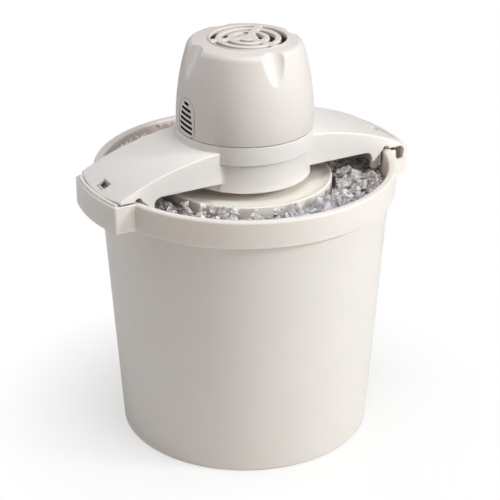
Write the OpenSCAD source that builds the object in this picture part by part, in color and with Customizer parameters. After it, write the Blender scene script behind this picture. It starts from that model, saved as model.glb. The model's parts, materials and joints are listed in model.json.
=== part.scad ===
// Bucket ice cream freezer with an electric drive that bridges the rim.
// Origin: centre of the bucket's underside. +Z up, +X along the bridge arms. Millimetres.

/* [Bucket] */
// Height of the bucket from its foot to the top of the rim
bucket_h = 254.5; // [245:0.5:280]
// Outer radius of the bucket at its foot
bucket_base_r = 115; // [112:0.5:125]
// How far the bucket wall leans out over its height
bucket_flare = 16.7; // [10:0.1:24]
// Thickness of the bucket wall
bucket_wall = 3; // [2:0.1:4]
// Thickness of the bucket floor
bucket_floor = 4; // [3:0.5:7]
// Radius of the rounded edge between wall and foot
foot_round = 3; // [1:0.5:5]
// Width of the foot ring that touches the ground
foot_ring = 9; // [5:0.5:15]
// Hollow above the ground inside the foot ring
foot_hollow = 1.5; // [0.5:0.1:2]
// How far the band round the rim stands out from the wall
rim_step = 4.3; // [3:0.1:8]
// Height of the band round the rim
rim_band_h = 24.5; // [15:0.5:30]
// Draft of the rim band, narrower at its lower edge
rim_draft = 0.6; // [0:0.1:1.5]
// Rounding of the rim's top edges
rim_round = 2; // [0.5:0.1:2.8]
// Radius of the pivot boss in the middle of the floor
pivot_r = 7; // [5:0.5:9]
// Height of the pivot boss above the floor
pivot_h = 9; // [7:0.5:12]
// Radius of the overflow hole for melted brine
drain_r = 5; // [3:0.5:8]
// Height of the overflow hole above the ground
drain_z = 196; // [150:1:210]
// Direction of the overflow hole, anticlockwise from +X
drain_dir = 60; // [60:5:120]

/* [Ears] */
// How far the outer face of an ear stands out from the rim band
ear_reach = 17; // [15:0.5:24]
// Half width of an ear at its outer corners
ear_half_w = 40.5; // [38:0.5:46]
// Half width of an ear at the rim, on its notched side
ear_root_half_w = 46.3; // [46:0.1:52]
// Half width of an ear at the rim, on its plain side
ear_plain_half_w = 41.5; // [40.5:0.1:50]
// Thickness of an ear's outer wall
ear_wall = 5; // [4:0.5:6]
// Thickness of an ear's side walls and floor
ear_side_wall = 3; // [2:0.1:4]
// Height of the lip that stands up along an ear's outer wall
ear_lip_h = 2; // [1:0.1:3]
// Thickness of that lip
ear_lip_t = 3; // [2:0.5:3.5]
// Width of the open notch in one side wall of each ear
ear_notch_w = 11; // [8:0.5:12]
// Depth of the open notch below the rim
ear_notch_h = 10.5; // [6:0.5:14]
// Width of the latch tongue that stands in each ear
tongue_w = 11; // [7:0.5:13]
// Thickness of the latch tongue
tongue_t = 2.4; // [1.5:0.1:3]
// Gap between the rim band and the latch tongue
tongue_gap = 3.4; // [2:0.1:4]
// How far the latch tongue stands up through its window
tongue_rise = 1.2; // [0.5:0.1:2]

/* [Ice canister] */
// Inner radius of the canister
can_inner_r = 75; // [70:0.5:78]
// Thickness of the aluminium
can_wall = 0.8; // [0.6:0.1:1.2]
// Height of the canister's underside above the bucket floor
can_lift = 4; // [3:0.5:6]
// How far the rolled rim of the canister stands out
can_bead = 0.9; // [0.6:0.1:1.5]
// How far the deck of the lid lies below the bucket rim
lid_drop = 15.2; // [14:0.1:20]
// Thickness of the lid
lid_t = 3; // [2:0.1:4]
// Thickness of the skirt round the lid
lid_skirt_t = 1.65; // [1.2:0.05:2.5]
// Depth of the skirt below the underside of the lid
lid_skirt_h = 10; // [6:0.5:14]
// Height of the raised edge above the deck of the lid
lid_edge_h = 3.4; // [2:0.1:5]
// Width of the raised edge
lid_edge_w = 5.5; // [4:0.5:8]
// Height of the drive lugs above the deck of the lid
lug_h = 3.6; // [2.5:0.1:4.5]

/* [Dasher] */
// Radius of the dasher's stem
stem_r = 6.5; // [5.5:0.1:7.5]
// Width across the flats of the square top of the stem
stem_square = 9; // [7:0.1:9.1]
// Length of the square above the deck of the lid
stem_square_h = 20; // [14:0.5:20]
// Thickness of the dasher's webs
web_t = 4; // [3:0.5:6]
// Thickness of the scraper blades
scraper_t = 2.6; // [2:0.1:4]
// Width of the scraper blades
scraper_w = 16; // [10:0.5:20]
// Angle between a scraper blade and the web
scraper_angle = 38; // [25:1:50]
// Number of cross bars on each side
bar_count = 5; // [3:1:7]
// Height of a cross bar
bar_h = 9; // [5:0.5:14]

/* [Bridge] */
// Half width of the two arms
arm_half_w = 40; // [34:0.5:40]
// Height of the crown of the arms above the rim
arm_crown_h = 30.5; // [28:0.5:34]
// Distance of the crown of an arm from the axis
arm_crown_x = 30; // [20:1:45]
// Height of the arms' top above the rim where they end
arm_end_h = 2; // [1.9:0.1:6]
// Gap between the end of an arm and the outer wall of the ear
arm_end_gap = 2; // [1:0.1:3]
// Thickness of the bridge moulding
bridge_wall = 3; // [2:0.1:3.5]
// Gap between the arms and the rim of the bucket
arm_over_rim = 1.5; // [1:0.1:3]
// Width of the locating legs that hang inside the rim
leg_w = 10; // [7:0.5:14]
// Depth of the locating legs below the rim
leg_drop = 17.5; // [10:0.5:24]
// Radius of the inner corner of a locating leg
leg_corner_r = 7; // [3:0.5:9]
// Radius of the finger notch in an arm's side beside the leg
side_notch_r = 3.2; // [2:0.1:4]
// Length of the latch window along the arm
window_l = 9; // [6:0.5:10]
// Width of the latch window across the arm
window_w = 14; // [10:0.5:18]
// Height of the foot of the ring band above the rim
ring_lift = 19; // [17:0.1:22]
// Height of the ring band below the motor cover
ring_h = 17.2; // [14:0.1:22]
// How far the ring band stands out from the gear case
ring_step = 2.2; // [1.5:0.1:4]
// Height of the gear case below the ring band
case_h = 26.3; // [25:0.1:30]
// Thickness of the cover under the gear case
case_cover_t = 3; // [2:0.5:4]

/* [Gears] */
// Module of the output stage
module_3 = 1.25; // [1.1:0.05:1.3]
// Teeth of the output gear
output_teeth = 42; // [36:1:44]
// Teeth of the pinion that drives the output gear
pinion_3_teeth = 12; // [12:1:16]
// Module of the middle stage
module_2 = 1; // [0.9:0.05:1.1]
// Teeth of the middle wheel
wheel_2_teeth = 40; // [34:1:40]
// Teeth of the middle pinion
pinion_2_teeth = 12; // [12:1:14]
// Module of the first stage
module_1 = 0.8; // [0.7:0.05:0.9]
// Teeth of the first wheel
wheel_1_teeth = 40; // [34:1:44]
// Teeth of the motor pinion
motor_teeth = 10; // [10:1:12]
// Height of the output gear's teeth
face_3 = 5.5; // [4:0.5:7]
// Height of the middle wheel's teeth
face_2 = 4; // [3:0.5:5]
// Height of the first wheel's teeth
face_1 = 3; // [2.5:0.5:4]
// Free space between the middle wheel and the gear case
gear_room = 1.75; // [1:0.05:3]
// Radius of the fixed post that the output gear turns on
post_r = 11; // [10.5:0.1:12]
// Radius of the output gear's hub below its teeth
hub_r = 17; // [15.5:0.1:19]
// Radius of the steel gear pins and shafts
pin_r = 2; // [1.5:0.1:2.5]
// Thickness of the steel plate between gears and motor
plate_t = 2.5; // [2:0.1:3]

/* [Motor] */
// Distance of the motor shaft from the canister's axis
motor_offset = 3.8; // [2:0.1:6]
// Direction of that offset, anticlockwise from +X
motor_offset_dir = -29; // [-45:1:45]
// Radius of the rotor
rotor_r = 19.5; // [16:0.5:20]
// Air gap round the rotor
air_gap = 0.4; // [0.3:0.1:0.8]
// Height of the stack of laminations
stack_h = 22; // [16:1:26]
// Half width of the stack
stack_half_w = 30; // [29:0.5:31]
// Width of the limb that carries the winding
limb_w = 10; // [7:0.5:11]
// Thickness of the winding on its bobbin
winding_t = 8; // [4:0.5:8.5]
// Distance from the gear plate to the lower bearing bracket
motor_stand = 8.5; // [7.5:0.5:12]
// Radius of the motor shaft
shaft_r = 2.5; // [2:0.1:3]
// Radius of the cooling fan
fan_r = 36; // [28:0.5:37]
// Height of the cooling fan's blades
fan_h = 9; // [6:0.5:11]
// Number of fan blades
fan_blades = 7; // [5:1:9]

/* [Motor cover] */
// Height of the motor cover above the ring band
cover_h = 78.8; // [76:0.1:88]
// Radius of the curved side of the cover, in profile
cover_bow_r = 233; // [200:1:300]
// Height above the seam at which the cover's side is vertical
cover_bow_z = 5.3; // [0:0.1:10]
// Radius of the cover's shoulder
shoulder_r = 5; // [3:0.5:11]
// Fall of the cover's top from the grille to the shoulder
deck_fall = 1.2; // [0.4:0.1:3]
// Thickness of the cover
cover_wall = 2.5; // [2:0.1:3]
// Height of the open seam between ring band and cover
seam = 0.3; // [0.1:0.1:0.8]
// Radius of the finger flutes in the shoulder
flute_r = 16; // [11:0.5:26]
// Depth of a flute at the shoulder
flute_depth = 6.2; // [3:0.1:7.5]
// Length of a flute down the side of the cover
flute_l = 24; // [20:0.5:34]
// Number of vent slots in each side panel
vent_count = 6; // [4:1:6]
// Distance between vent slots
vent_pitch = 5; // [4.5:0.1:5.2]
// Height of a vent slot
vent_h = 2.4; // [1.5:0.1:3]
// Height of the lowest vent slot above the seam
vent_lift = 3.7; // [3:0.1:6]
// Half width of a side vent panel
vent_panel_half_w = 12.5; // [11:0.5:15]
// Angle by which the vent panels are turned away from the arms
vent_turn = 3.8; // [0:0.1:8]
// Radius of the grille's centre disc
grille_hub_r = 8.3; // [6:0.1:9]
// Width of the grille's slots
grille_slot = 5.4; // [4:0.1:6]
// Distance between the grille's slots
grille_pitch = 10.1; // [9:0.1:10.3]
// Width of the grille's spokes
grille_spoke = 7; // [4:0.5:9]
// Height of the raised grille disc above the cover's top
grille_proud = 1.1; // [0.5:0.1:2]

/* [Ice] */
// Gap between the ice and the turning canister
ice_gap = 1; // [0.5:0.1:3]
// Height of the packed ice below the rim
ice_drop = 19; // [14:0.5:40]
// Size of one lump of ice
lump = 20; // [14:0.5:22]
// Number of lumps in the outer ring of the top layer
lump_count = 30; // [20:1:32]

/* [Fits] */
// Radial clearance of a running fit
run_fit = 0.05; // [0.02:0.01:0.1]
// Clearance of parts that lift off
lift_fit = 0.3; // [0.3:0.05:0.4]
// Axial clearance between turning faces
end_play = 0.3; // [0.3:0.05:0.5]
// Angular clearance of the drive dogs, in degrees
dog_play = 5; // [2:0.5:8]
// Backlash of the gears as a share of the module
backlash = 0.1; // [0.08:0.01:0.14]
// Radius of the small screws
screw_r = 1.5; // [1.2:0.1:1.8]
// Radius of the small screws' heads
screw_head_r = 2.8; // [2.4:0.1:3.2]
// Height of the small screws' heads
screw_head_h = 1.8; // [1.5:0.1:2.4]

/* [Hidden] */
$fn = 96;
e = 0.5;          // how far tools run past a face, and joined shapes run into each other

cream = "#e9e5dd";
ice_colour = "#cfd8de";
aluminium = "#c9ccce";
steel = "#9aa0a5";
copper = "#b8683a";

// Bucket outline: outer wall, inner wall and the levels that the rest is built from.
function wall_r(z) = bucket_base_r + bucket_flare * z / bucket_h;
function bore_r(z) = wall_r(z) - bucket_wall;
floor_z = bucket_floor + foot_hollow;
rim_r = wall_r(bucket_h) + rim_step;
band_z = bucket_h - rim_band_h;
ear_r = rim_r + ear_reach;
ear_floor_z = band_z + ear_side_wall;
ear_pocket_r = ear_r - ear_wall;

// Canister and lid levels.
can_corner = 2;   // chamfer between the canister's side and base
can_z = floor_z + can_lift;
can_r = can_inner_r + can_wall;
bead_r = can_r + can_bead;
lid_deck_z = bucket_h - lid_drop;
lid_under_z = lid_deck_z - lid_t;
can_top_z = lid_under_z - end_play;
pivot_top_z = floor_z + pivot_h;
dimple_r = pivot_r + run_fit;
dimple_top_z = pivot_top_z + end_play + can_wall;
skirt_r = bead_r + run_fit;
lid_r = skirt_r + lid_skirt_t;
lid_edge_z = lid_deck_z + lid_edge_h;
lug_top_z = lid_deck_z + lug_h;

// Gear train: shaft places found from the tooth counts.
d3 = module_3 * (output_teeth + pinion_3_teeth) / 2;
d2 = module_2 * (wheel_2_teeth + pinion_2_teeth) / 2;
d1 = module_1 * (wheel_1_teeth + motor_teeth) / 2;
motor_at = motor_offset * [cos(motor_offset_dir), sin(motor_offset_dir)];
first_at = motor_at + [d1, 0];
first_reach = norm(first_at);
second_turn = acos((first_reach * first_reach + d3 * d3 - d2 * d2) / (2 * first_reach * d3));
second_dir = atan2(first_at[1], first_at[0]) + second_turn;
second_at = d3 * [cos(second_dir), sin(second_dir)];
function towards(a, b) = atan2(b[1] - a[1], b[0] - a[0]);
// A tooth of the wheel points at the pinion, and a gap of the pinion faces it.
function pinion_turn(wheel_at, pinion_at, teeth) = towards(wheel_at, pinion_at) + 180 + 180 / teeth;
stub = 0.6;       // addendum of a wheel, in modules
tall = 1;         // addendum of a pinion, in modules
root_play = 0.25; // room between a tip and the opposite root, in modules
wheel_2_tip = module_2 * (wheel_2_teeth / 2 + stub);

// Head: radii.
case_bore_r = d3 + wheel_2_tip + gear_room;
case_r = case_bore_r + bridge_wall;
ring_r = case_r + ring_step;
ring_bore_r = ring_r - bridge_wall;
boss_r = 4;
boss_gap = 2;     // between a boss and the wall of the case, bridged by a web
boss_at = case_bore_r - boss_r - boss_gap;
boss_dirs = [150, 255, 330];
cover_boss_at = ring_bore_r - boss_r - 1.5;
cover_boss_dirs = [110, -70];
cover_screw_l = 14;
cover_boss_h = 16; // of a boss above the seam
case_screw_l = 9;
plate_screw_l = 7; // below the plate

// Head: levels, from the rim upwards and from the ring band down.
arm_z = bucket_h + arm_over_rim;
crown_z = bucket_h + arm_crown_h;
ring_z = bucket_h + ring_lift;
seam_z = ring_z + ring_h;
plate_z = ring_z;
plate_top_z = plate_z + plate_t;
case_z = ring_z - case_h;
case_floor_z = case_z + case_cover_t;
post_flange_t = 2.5;
wheel_gap = 0.6;    // between the middle wheel and the socket's flange
output_gap = 1.2;   // between the output gear and the middle wheel
wheel_2_z = plate_z - post_flange_t - wheel_gap - face_2;
output_z = wheel_2_z - output_gap - face_3;
shoulder_gap = 0.5; // between a pinion's ends and the faces beside it
bush_flange_t = 1;
first_z = plate_top_z + 2 * bush_flange_t;
lower_bracket_z = plate_top_z + motor_stand;
bracket_t = 2;
bracket_leg = 8;
bush_h = 6;
motor_bush_wall = 2;
thrust_t = 0.8;     // thickness of a thrust washer
stack_z = lower_bracket_z + bracket_t + bracket_leg;
stack_top_z = stack_z + stack_h;
upper_bracket_z = stack_top_z + bracket_leg;
rotor_bore_r = rotor_r + air_gap;
motor_screw_y = rotor_bore_r + 4.6;
motor_screw_r = 1.7;
motor_head_r = 3.2;
motor_head_h = 2.2;
spacer_r = 3.6;
pole_t = 3.5;      // iron left between the rotor's bore and the winding's window
bobbin_half_l = 17;
bobbin_wall = 1;
bobbin_gap = 0.1;  // between the bobbin and the limb
winding_room = 1.5;
window_x1 = motor_at[0] - rotor_bore_r - pole_t;
window_x0 = window_x1 - bobbin_gap - bobbin_wall - winding_t - winding_room;
limb_x = window_x0 - limb_w;
fan_z = upper_bracket_z + bracket_t + bush_h + 3;

// Motor cover profile.
cover_z = seam_z + seam;
cover_top_z = seam_z + cover_h;
cover_base_r = ring_r;
bow_centre_r = cover_base_r - cover_bow_r;
function cover_r(z) = bow_centre_r + sqrt(cover_bow_r * cover_bow_r - pow(z - cover_z - cover_bow_z, 2));
vent_z = cover_z + vent_lift;
vent_top_z = vent_z + (vent_count - 1) * vent_pitch;

// Arms and legs.
arm_end_r = ear_pocket_r - arm_end_gap;
arch_run = arm_end_r - arm_crown_x;
arch_fall = arm_crown_h - arm_end_h;
arm_arch_r = (arch_run * arch_run + arch_fall * arch_fall) / (2 * arch_fall);
leg_tip_z = bucket_h - leg_drop;
leg_gap = 0.4;     // between a leg's corner and the bucket's bore
leg_out_x = sqrt(pow(bore_r(leg_tip_z) - leg_gap, 2) - arm_half_w * arm_half_w);
window_shift = 1.6; // the window's middle lies this far inside the tongue's
window_x = rim_r + tongue_gap + tongue_t / 2 - window_shift;
seat_gap = lift_fit;
seat_in = 2;       // the seat rib stands this far inside the rim's outer edge
rib_t = 2.1;       // thickness of the ribs
rib_gap = 1.2;     // between the cross rib and the bucket's bore
rib_lift = 3;      // height of the cross rib's foot above the legs' tips
rib_l = 12;        // how far the cross rib curves back along the arm
notch_gap = 0.8;   // between a leg and the finger notch
end_drop = 4;      // how far the end wall reaches below the rim
end_inset = 8;     // the end wall is this much narrower than the arm, each side

// ---------- shared shapes ----------

module ring(r, bore, h) {
    difference() {
        cylinder(r = r, h = h);
        translate([0, 0, -e]) cylinder(r = bore, h = h + 2 * e);
    }
}

module at(place, z = 0) { translate([place[0], place[1], z]) children(); }

module around(dirs, r, z) {
    for (a = dirs) rotate(a) translate([r, 0, z]) children();
}

module both_ends() {
    children();
    rotate(180) children();
}

// Wedge of a circle, from angle -a to a.
module wedge(r, a, h) {
    rotate(-a) rotate_extrude(angle = 2 * a) square([r, h]);
}

// Involute tooth outline. t is the roll angle in degrees at which a flank point lies.
function roll_at(base, r) = r <= base ? 0 : sqrt(r * r / (base * base) - 1) * 180 / PI;
function flank_dir(base, r) = let (t = roll_at(base, r)) t - atan(t * PI / 180);
function polar(r, a) = r * [cos(a), sin(a)];

flank_steps = 4;
pressure = 20;    // pressure angle of all the gears

module gear_2d(m, teeth, add, mate_add) {
    pitch = m * teeth / 2;
    base = pitch * cos(pressure);
    tip = pitch + m * add;
    root = pitch - m * (mate_add + root_play);
    start = max(base, root);
    half = 90 / teeth - backlash * m / pitch * 90 / PI + flank_dir(base, pitch);
    outline = [for (i = [0 : teeth - 1]) let (a = i * 360 / teeth) each concat(
        root < base ? [polar(root, a - half)] : [],
        [for (k = [0 : flank_steps]) let (r = start + (tip - start) * k / flank_steps)
            polar(r, a - half + flank_dir(base, r))],
        [for (k = [flank_steps : -1 : 0]) let (r = start + (tip - start) * k / flank_steps)
            polar(r, a + half - flank_dir(base, r))],
        root < base ? [polar(root, a + half)] : [])];
    polygon(outline);
}

module gear(m, teeth, add, mate_add, h, turn) {
    rotate(turn) linear_extrude(height = h) gear_2d(m, teeth, add, mate_add);
}

// Pan-head screw along +Z with its head below z = 0.
module screw(l, r = screw_r, head_r = screw_head_r, head_h = screw_head_h) {
    difference() {
        union() {
            translate([0, 0, -head_h]) cylinder(r = head_r, h = head_h);
            cylinder(r = r, h = l);
        }
        for (a = [0, 90]) rotate(a)
            translate([-head_r * 0.6, -0.35, -head_h - e]) cube([head_r * 1.2, 0.7, head_h / 2 + e]);
    }
}

// ---------- bucket ----------

module bucket_profile() {
    steps = 5;
    polygon(concat(
        [[0, foot_hollow], [bucket_base_r - foot_round - foot_ring, foot_hollow],
         [bucket_base_r - foot_round - foot_ring, 0]],
        [for (k = [0 : steps]) let (a = -90 + 90 * k / steps)
            [wall_r(foot_round) - foot_round + foot_round * cos(a), foot_round + foot_round * sin(a)]],
        [[wall_r(band_z), band_z], [rim_r - rim_draft, band_z], [rim_r, bucket_h - rim_round]],
        [for (k = [1 : steps]) let (a = 90 * k / steps)
            [rim_r - rim_round + rim_round * cos(a), bucket_h - rim_round + rim_round * sin(a)]],
        [for (k = [0 : steps]) let (a = 90 + 90 * k / steps)
            [bore_r(bucket_h) + rim_round + rim_round * cos(a), bucket_h - rim_round + rim_round * sin(a)]],
        [[bore_r(floor_z), floor_z], [0, floor_z]]));
}

// Outline of one ear, from inside the rim band out to past the ear's face.
module ear_outline(inset) {
    corner_x = sqrt(ear_r * ear_r - ear_half_w * ear_half_w);
    root_x = sqrt(rim_r * rim_r - ear_root_half_w * ear_root_half_w);
    polygon([for (s = [-1, 1], end = s < 0 ? [0, 1] : [1, 0])
        let (root_half = s < 0 ? ear_root_half_w : ear_plain_half_w,
            slope = (root_half - ear_half_w) / (corner_x - root_x),
            x = end == 0 ? root_x - 4 : ear_r + 4)
        [x, s * (ear_half_w + slope * (corner_x - x) - inset)]]);
}

module ear() {
    tongue_r = rim_r + tongue_gap;
    band_cut = 1.5;  // the ear starts this deep inside the rim band
    notch_in = 2;    // the notch starts this deep inside the rim band, beyond the cut
    difference() {
        union() {
            translate([0, 0, band_z]) intersection() {
                linear_extrude(height = rim_band_h) ear_outline(0);
                cylinder(r = ear_r, h = rim_band_h);
            }
            translate([0, 0, band_z]) intersection() {
                linear_extrude(height = rim_band_h + ear_lip_h) ear_outline(ear_side_wall);
                ring(ear_pocket_r + ear_lip_t, ear_pocket_r, rim_band_h + ear_lip_h);
            }
        }
        translate([0, 0, ear_floor_z]) intersection() {
            linear_extrude(height = rim_band_h) ear_outline(ear_side_wall);
            ring(ear_pocket_r, rim_r, rim_band_h);
        }
        translate([0, 0, band_z - e]) cylinder(r = rim_r - band_cut, h = rim_band_h + 2 * e);
        translate([rim_r - band_cut - notch_in, -ear_root_half_w - 2, bucket_h - ear_notch_h])
            cube([ear_notch_w, ear_root_half_w - arm_half_w + 6, ear_notch_h + e]);
    }
    translate([tongue_r, -tongue_w / 2, ear_floor_z - e])
        cube([tongue_t, tongue_w, arm_z + tongue_rise - ear_floor_z + e]);
}

module bucket() {
    color(cream) {
        difference() {
            union() {
                rotate_extrude() bucket_profile();
                both_ends() ear();
            }
            rotate(drain_dir) translate([wall_r(drain_z) - bucket_wall - 2, 0, drain_z])
                rotate([0, 90, 0]) cylinder(r = drain_r, h = bucket_wall + 4);
        }
        translate([0, 0, floor_z - e]) cylinder(r = pivot_r, h = pivot_h + e);
    }
}

// ---------- ice ----------

ice_top_z = bucket_h - ice_drop;
ice_in_r = can_r + ice_gap;
ice_lid_r = lid_r + ice_gap;
ice_wall_gap = 0.4;
ice_step_drop = 3; // the ice widens round the lid this far below its skirt
ice_seed = 43;     // of the lumps' random shapes and tilts
ice_lid_fall = 2;  // of the ice's top, from the wall to the lid
lump_brim_in = 4;  // how far the tallest lumps keep from the wall
lump_lid_in = 8;   // and from the lid
leg_room = 0.6;    // between the ice and the tip of a leg
step_z = min(lid_under_z - lid_skirt_h, ice_top_z) - ice_step_drop;

// One lump: a rough block of eight shifted corners.
module ice_lump(size, seed) {
    w = rands(0.34, 0.52, 24, seed);
    hull() polyhedron(
        points = [for (i = [0 : 7]) size * [
            (i % 2 == 0 ? -1 : 1) * w[i],
            (floor(i / 2) % 2 == 0 ? -1 : 1) * w[i + 8],
            (i < 4 ? -0.8 : 0.8) * w[i + 16]]],
        faces = [[0, 2, 3, 1], [4, 5, 7, 6], [0, 1, 5, 4], [2, 6, 7, 3], [0, 4, 6, 2], [1, 3, 7, 5]]);
}

module lump_ring(count, r, z, size, seed) {
    tilt = rands(-22, 22, 3 * count, seed);
    for (i = [0 : count - 1])
        rotate(i * 360 / count) translate([r, 0, z + tilt[i] / 300 * lump])
            rotate([tilt[i + count], tilt[i + 2 * count], 4 * tilt[i]]) ice_lump(size, seed + i);
}

// Packed ice round the canister, with loose lumps on top that stay clear of all that moves.
module crushed_ice() {
    ice_fn = 72;
    inset = 0.3;
    brim_r = bore_r(ice_top_z);
    color(ice_colour) difference() {
        union() {
            rotate_extrude($fn = ice_fn) polygon([[ice_in_r, floor_z],
                [bore_r(floor_z) - ice_wall_gap, floor_z],
                [brim_r - ice_wall_gap, ice_top_z], [ice_lid_r, ice_top_z - ice_lid_fall],
                [ice_lid_r, step_z], [ice_in_r, step_z]]);
            intersection() {
                union() {
                    lump_ring(lump_count, brim_r - lump / 2, ice_top_z + 0.05 * lump, lump, ice_seed);
                    lump_ring(floor(lump_count * 0.86), (brim_r + ice_lid_r) / 2, ice_top_z + 0.05 * lump,
                        lump * 0.95, ice_seed + 60);
                    lump_ring(floor(lump_count * 0.8), ice_lid_r + lump * 0.45, ice_top_z - 0.05 * lump,
                        lump * 0.9, ice_seed + 120);
                }
                rotate_extrude($fn = ice_fn) polygon([[ice_lid_r + inset, step_z + inset],
                    [bore_r(step_z) - ice_wall_gap - inset, step_z + inset],
                    [brim_r - ice_wall_gap - inset, ice_top_z],
                    [brim_r - ice_wall_gap - lump_brim_in, ice_top_z + lump],
                    [ice_lid_r + lump_lid_in, ice_top_z + lump],
                    [ice_lid_r + inset, max(lid_deck_z - 2, ice_top_z)]]);
            }
        }
        // Room for the legs and cross ribs of the bridge.
        both_ends() translate([leg_out_x - leg_w - leg_corner_r, -arm_half_w - 1, leg_tip_z - leg_room])
            cube([rim_r, 2 * arm_half_w + 2, 4 * lump]);
    }
}

// ---------- canister, lid and dasher ----------

module canister() {
    color(aluminium) rotate_extrude() polygon([
        [dimple_r, can_z], [can_r - can_corner, can_z], [can_r, can_z + can_corner], [can_r, can_top_z - 3],
        [bead_r, can_top_z - 2.4], [bead_r, can_top_z], [can_inner_r, can_top_z],
        [can_inner_r, can_z + can_corner], [can_inner_r - can_corner + can_wall, can_z + can_wall],
        [dimple_r + can_wall, can_z + can_wall], [dimple_r + can_wall, dimple_top_z],
        [0, dimple_top_z], [0, dimple_top_z - can_wall], [dimple_r, dimple_top_z - can_wall]]);
}

lug_in_r = post_r + 1.2;
lug_half = 25;    // half the angle that a drive lug fills
lug_dirs = [0, 120, 240];

module canister_lid() {
    edge_steps = 4;
    edge_round = min(lid_edge_w / 2 - 0.1, lid_edge_h - 0.2);
    color(cream) {
        rotate_extrude() polygon(concat(
            [[stem_r + run_fit, lid_under_z], [skirt_r, lid_under_z], [skirt_r, lid_under_z - lid_skirt_h],
             [lid_r - 0.6, lid_under_z - lid_skirt_h], [lid_r, lid_under_z - lid_skirt_h + 3]],
            [for (k = [0 : edge_steps]) let (a = 90 * k / edge_steps)
                [lid_r - edge_round + edge_round * cos(a), lid_edge_z - edge_round + edge_round * sin(a)]],
            [for (k = [0 : edge_steps]) let (a = 90 + 90 * k / edge_steps)
                [lid_r - lid_edge_w + edge_round + edge_round * cos(a),
                 lid_edge_z - edge_round + edge_round * sin(a)]],
            [[lid_r - lid_edge_w, lid_deck_z], [stem_r + run_fit, lid_deck_z]]));
        for (a = lug_dirs) rotate(a) difference() {
            translate([0, 0, lid_deck_z - e]) wedge(hub_r, lug_half, lug_h + e);
            translate([0, 0, lid_deck_z - 1]) cylinder(r = lug_in_r, h = lug_h + 2);
        }
    }
}

foot_z = can_z + can_wall + end_play;
blade_top_z = lid_under_z - 2 * end_play - 1;
blade_r = can_inner_r - 0.6;
stem_shoulder_z = lid_deck_z + 3;
stem_top_z = stem_shoulder_z + stem_square_h;
foot_wall = 4;
foot_bore_r = dimple_r + can_wall + run_fit;
foot_h = 12;

module dasher() {
    blade_z = can_z + can_corner + end_play;
    blade_h = blade_top_z - blade_z;
    post_w = 9;
    bar_inset = 3;
    bar_gap = (blade_h - 2 * bar_inset - bar_h) / (bar_count - 1);
    bar_t = web_t - 0.6;
    hinge_x = blade_r - scraper_w * cos(scraper_angle) - 1.5;
    bar_l = 2 * (hinge_x - post_w / 2);
    color("#f0ece2") difference() {
        union() {
            translate([0, 0, foot_z]) cylinder(r = foot_bore_r + foot_wall, h = foot_h);
            translate([0, 0, foot_z + foot_h - e])
                cylinder(r = stem_r, h = stem_shoulder_z - foot_z - foot_h + e);
            translate([-stem_square / 2, -stem_square / 2, lid_deck_z]) cube([stem_square, stem_square,
                stem_top_z - lid_deck_z]);
            for (i = [0 : bar_count - 1])
                translate([-bar_l / 2, -bar_t / 2, blade_z + bar_inset + i * bar_gap])
                    cube([bar_l, bar_t, bar_h]);
            both_ends() {
                translate([hinge_x - post_w, -web_t / 2, blade_z + 1]) cube([post_w, web_t, blade_h - 2]);
                intersection() {
                    translate([hinge_x - post_w / 2, 0, blade_z]) rotate(scraper_angle)
                        translate([0, -scraper_t / 2, 0]) cube([2 * scraper_w, scraper_t, blade_h]);
                    translate([0, 0, blade_z - e]) cylinder(r = blade_r, h = blade_h + 2 * e);
                }
            }
        }
        translate([0, 0, foot_z - e]) cylinder(r = foot_bore_r, h = dimple_top_z + end_play - foot_z + e);
    }
}

// ---------- bridge ----------

// The solid of one arm before it is hollowed: an arch cut off by the end circle.
module arm_solid(half_w, arch_drop, end_r, low_z) {
    intersection() {
        translate([0, -half_w, low_z]) cube([end_r + e, 2 * half_w, crown_z - low_z]);
        translate([arm_crown_x, half_w + e, crown_z - arm_arch_r]) rotate([90, 0, 0])
            cylinder(r = arm_arch_r - arch_drop, h = 2 * (half_w + e), $fn = 360);
        translate([0, 0, low_z]) cylinder(r = end_r, h = crown_z - low_z + e);
    }
}

// Locating leg: a flat hook that hangs inside the rim, with a round tip and inner corner.
module leg() {
    tip_r = leg_w / 2 - e;
    in_x = leg_out_x - leg_w;
    translate([0, arm_half_w, 0]) rotate([90, 0, 0]) linear_extrude(height = bridge_wall)
        difference() {
            union() {
                translate([in_x, leg_tip_z + tip_r]) square([leg_w, arm_z - leg_tip_z - tip_r + 2]);
                translate([leg_out_x - tip_r, leg_tip_z + tip_r]) circle(r = tip_r);
                translate([in_x + tip_r, leg_tip_z + tip_r]) circle(r = tip_r);
                translate([in_x + tip_r, leg_tip_z]) square([leg_w - 2 * tip_r, tip_r]);
                translate([in_x - leg_corner_r, arm_z - leg_corner_r])
                    square([leg_corner_r + 1, leg_corner_r + 2]);
            }
            translate([in_x - leg_corner_r, arm_z - leg_corner_r]) circle(r = leg_corner_r);
        }
}

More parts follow.
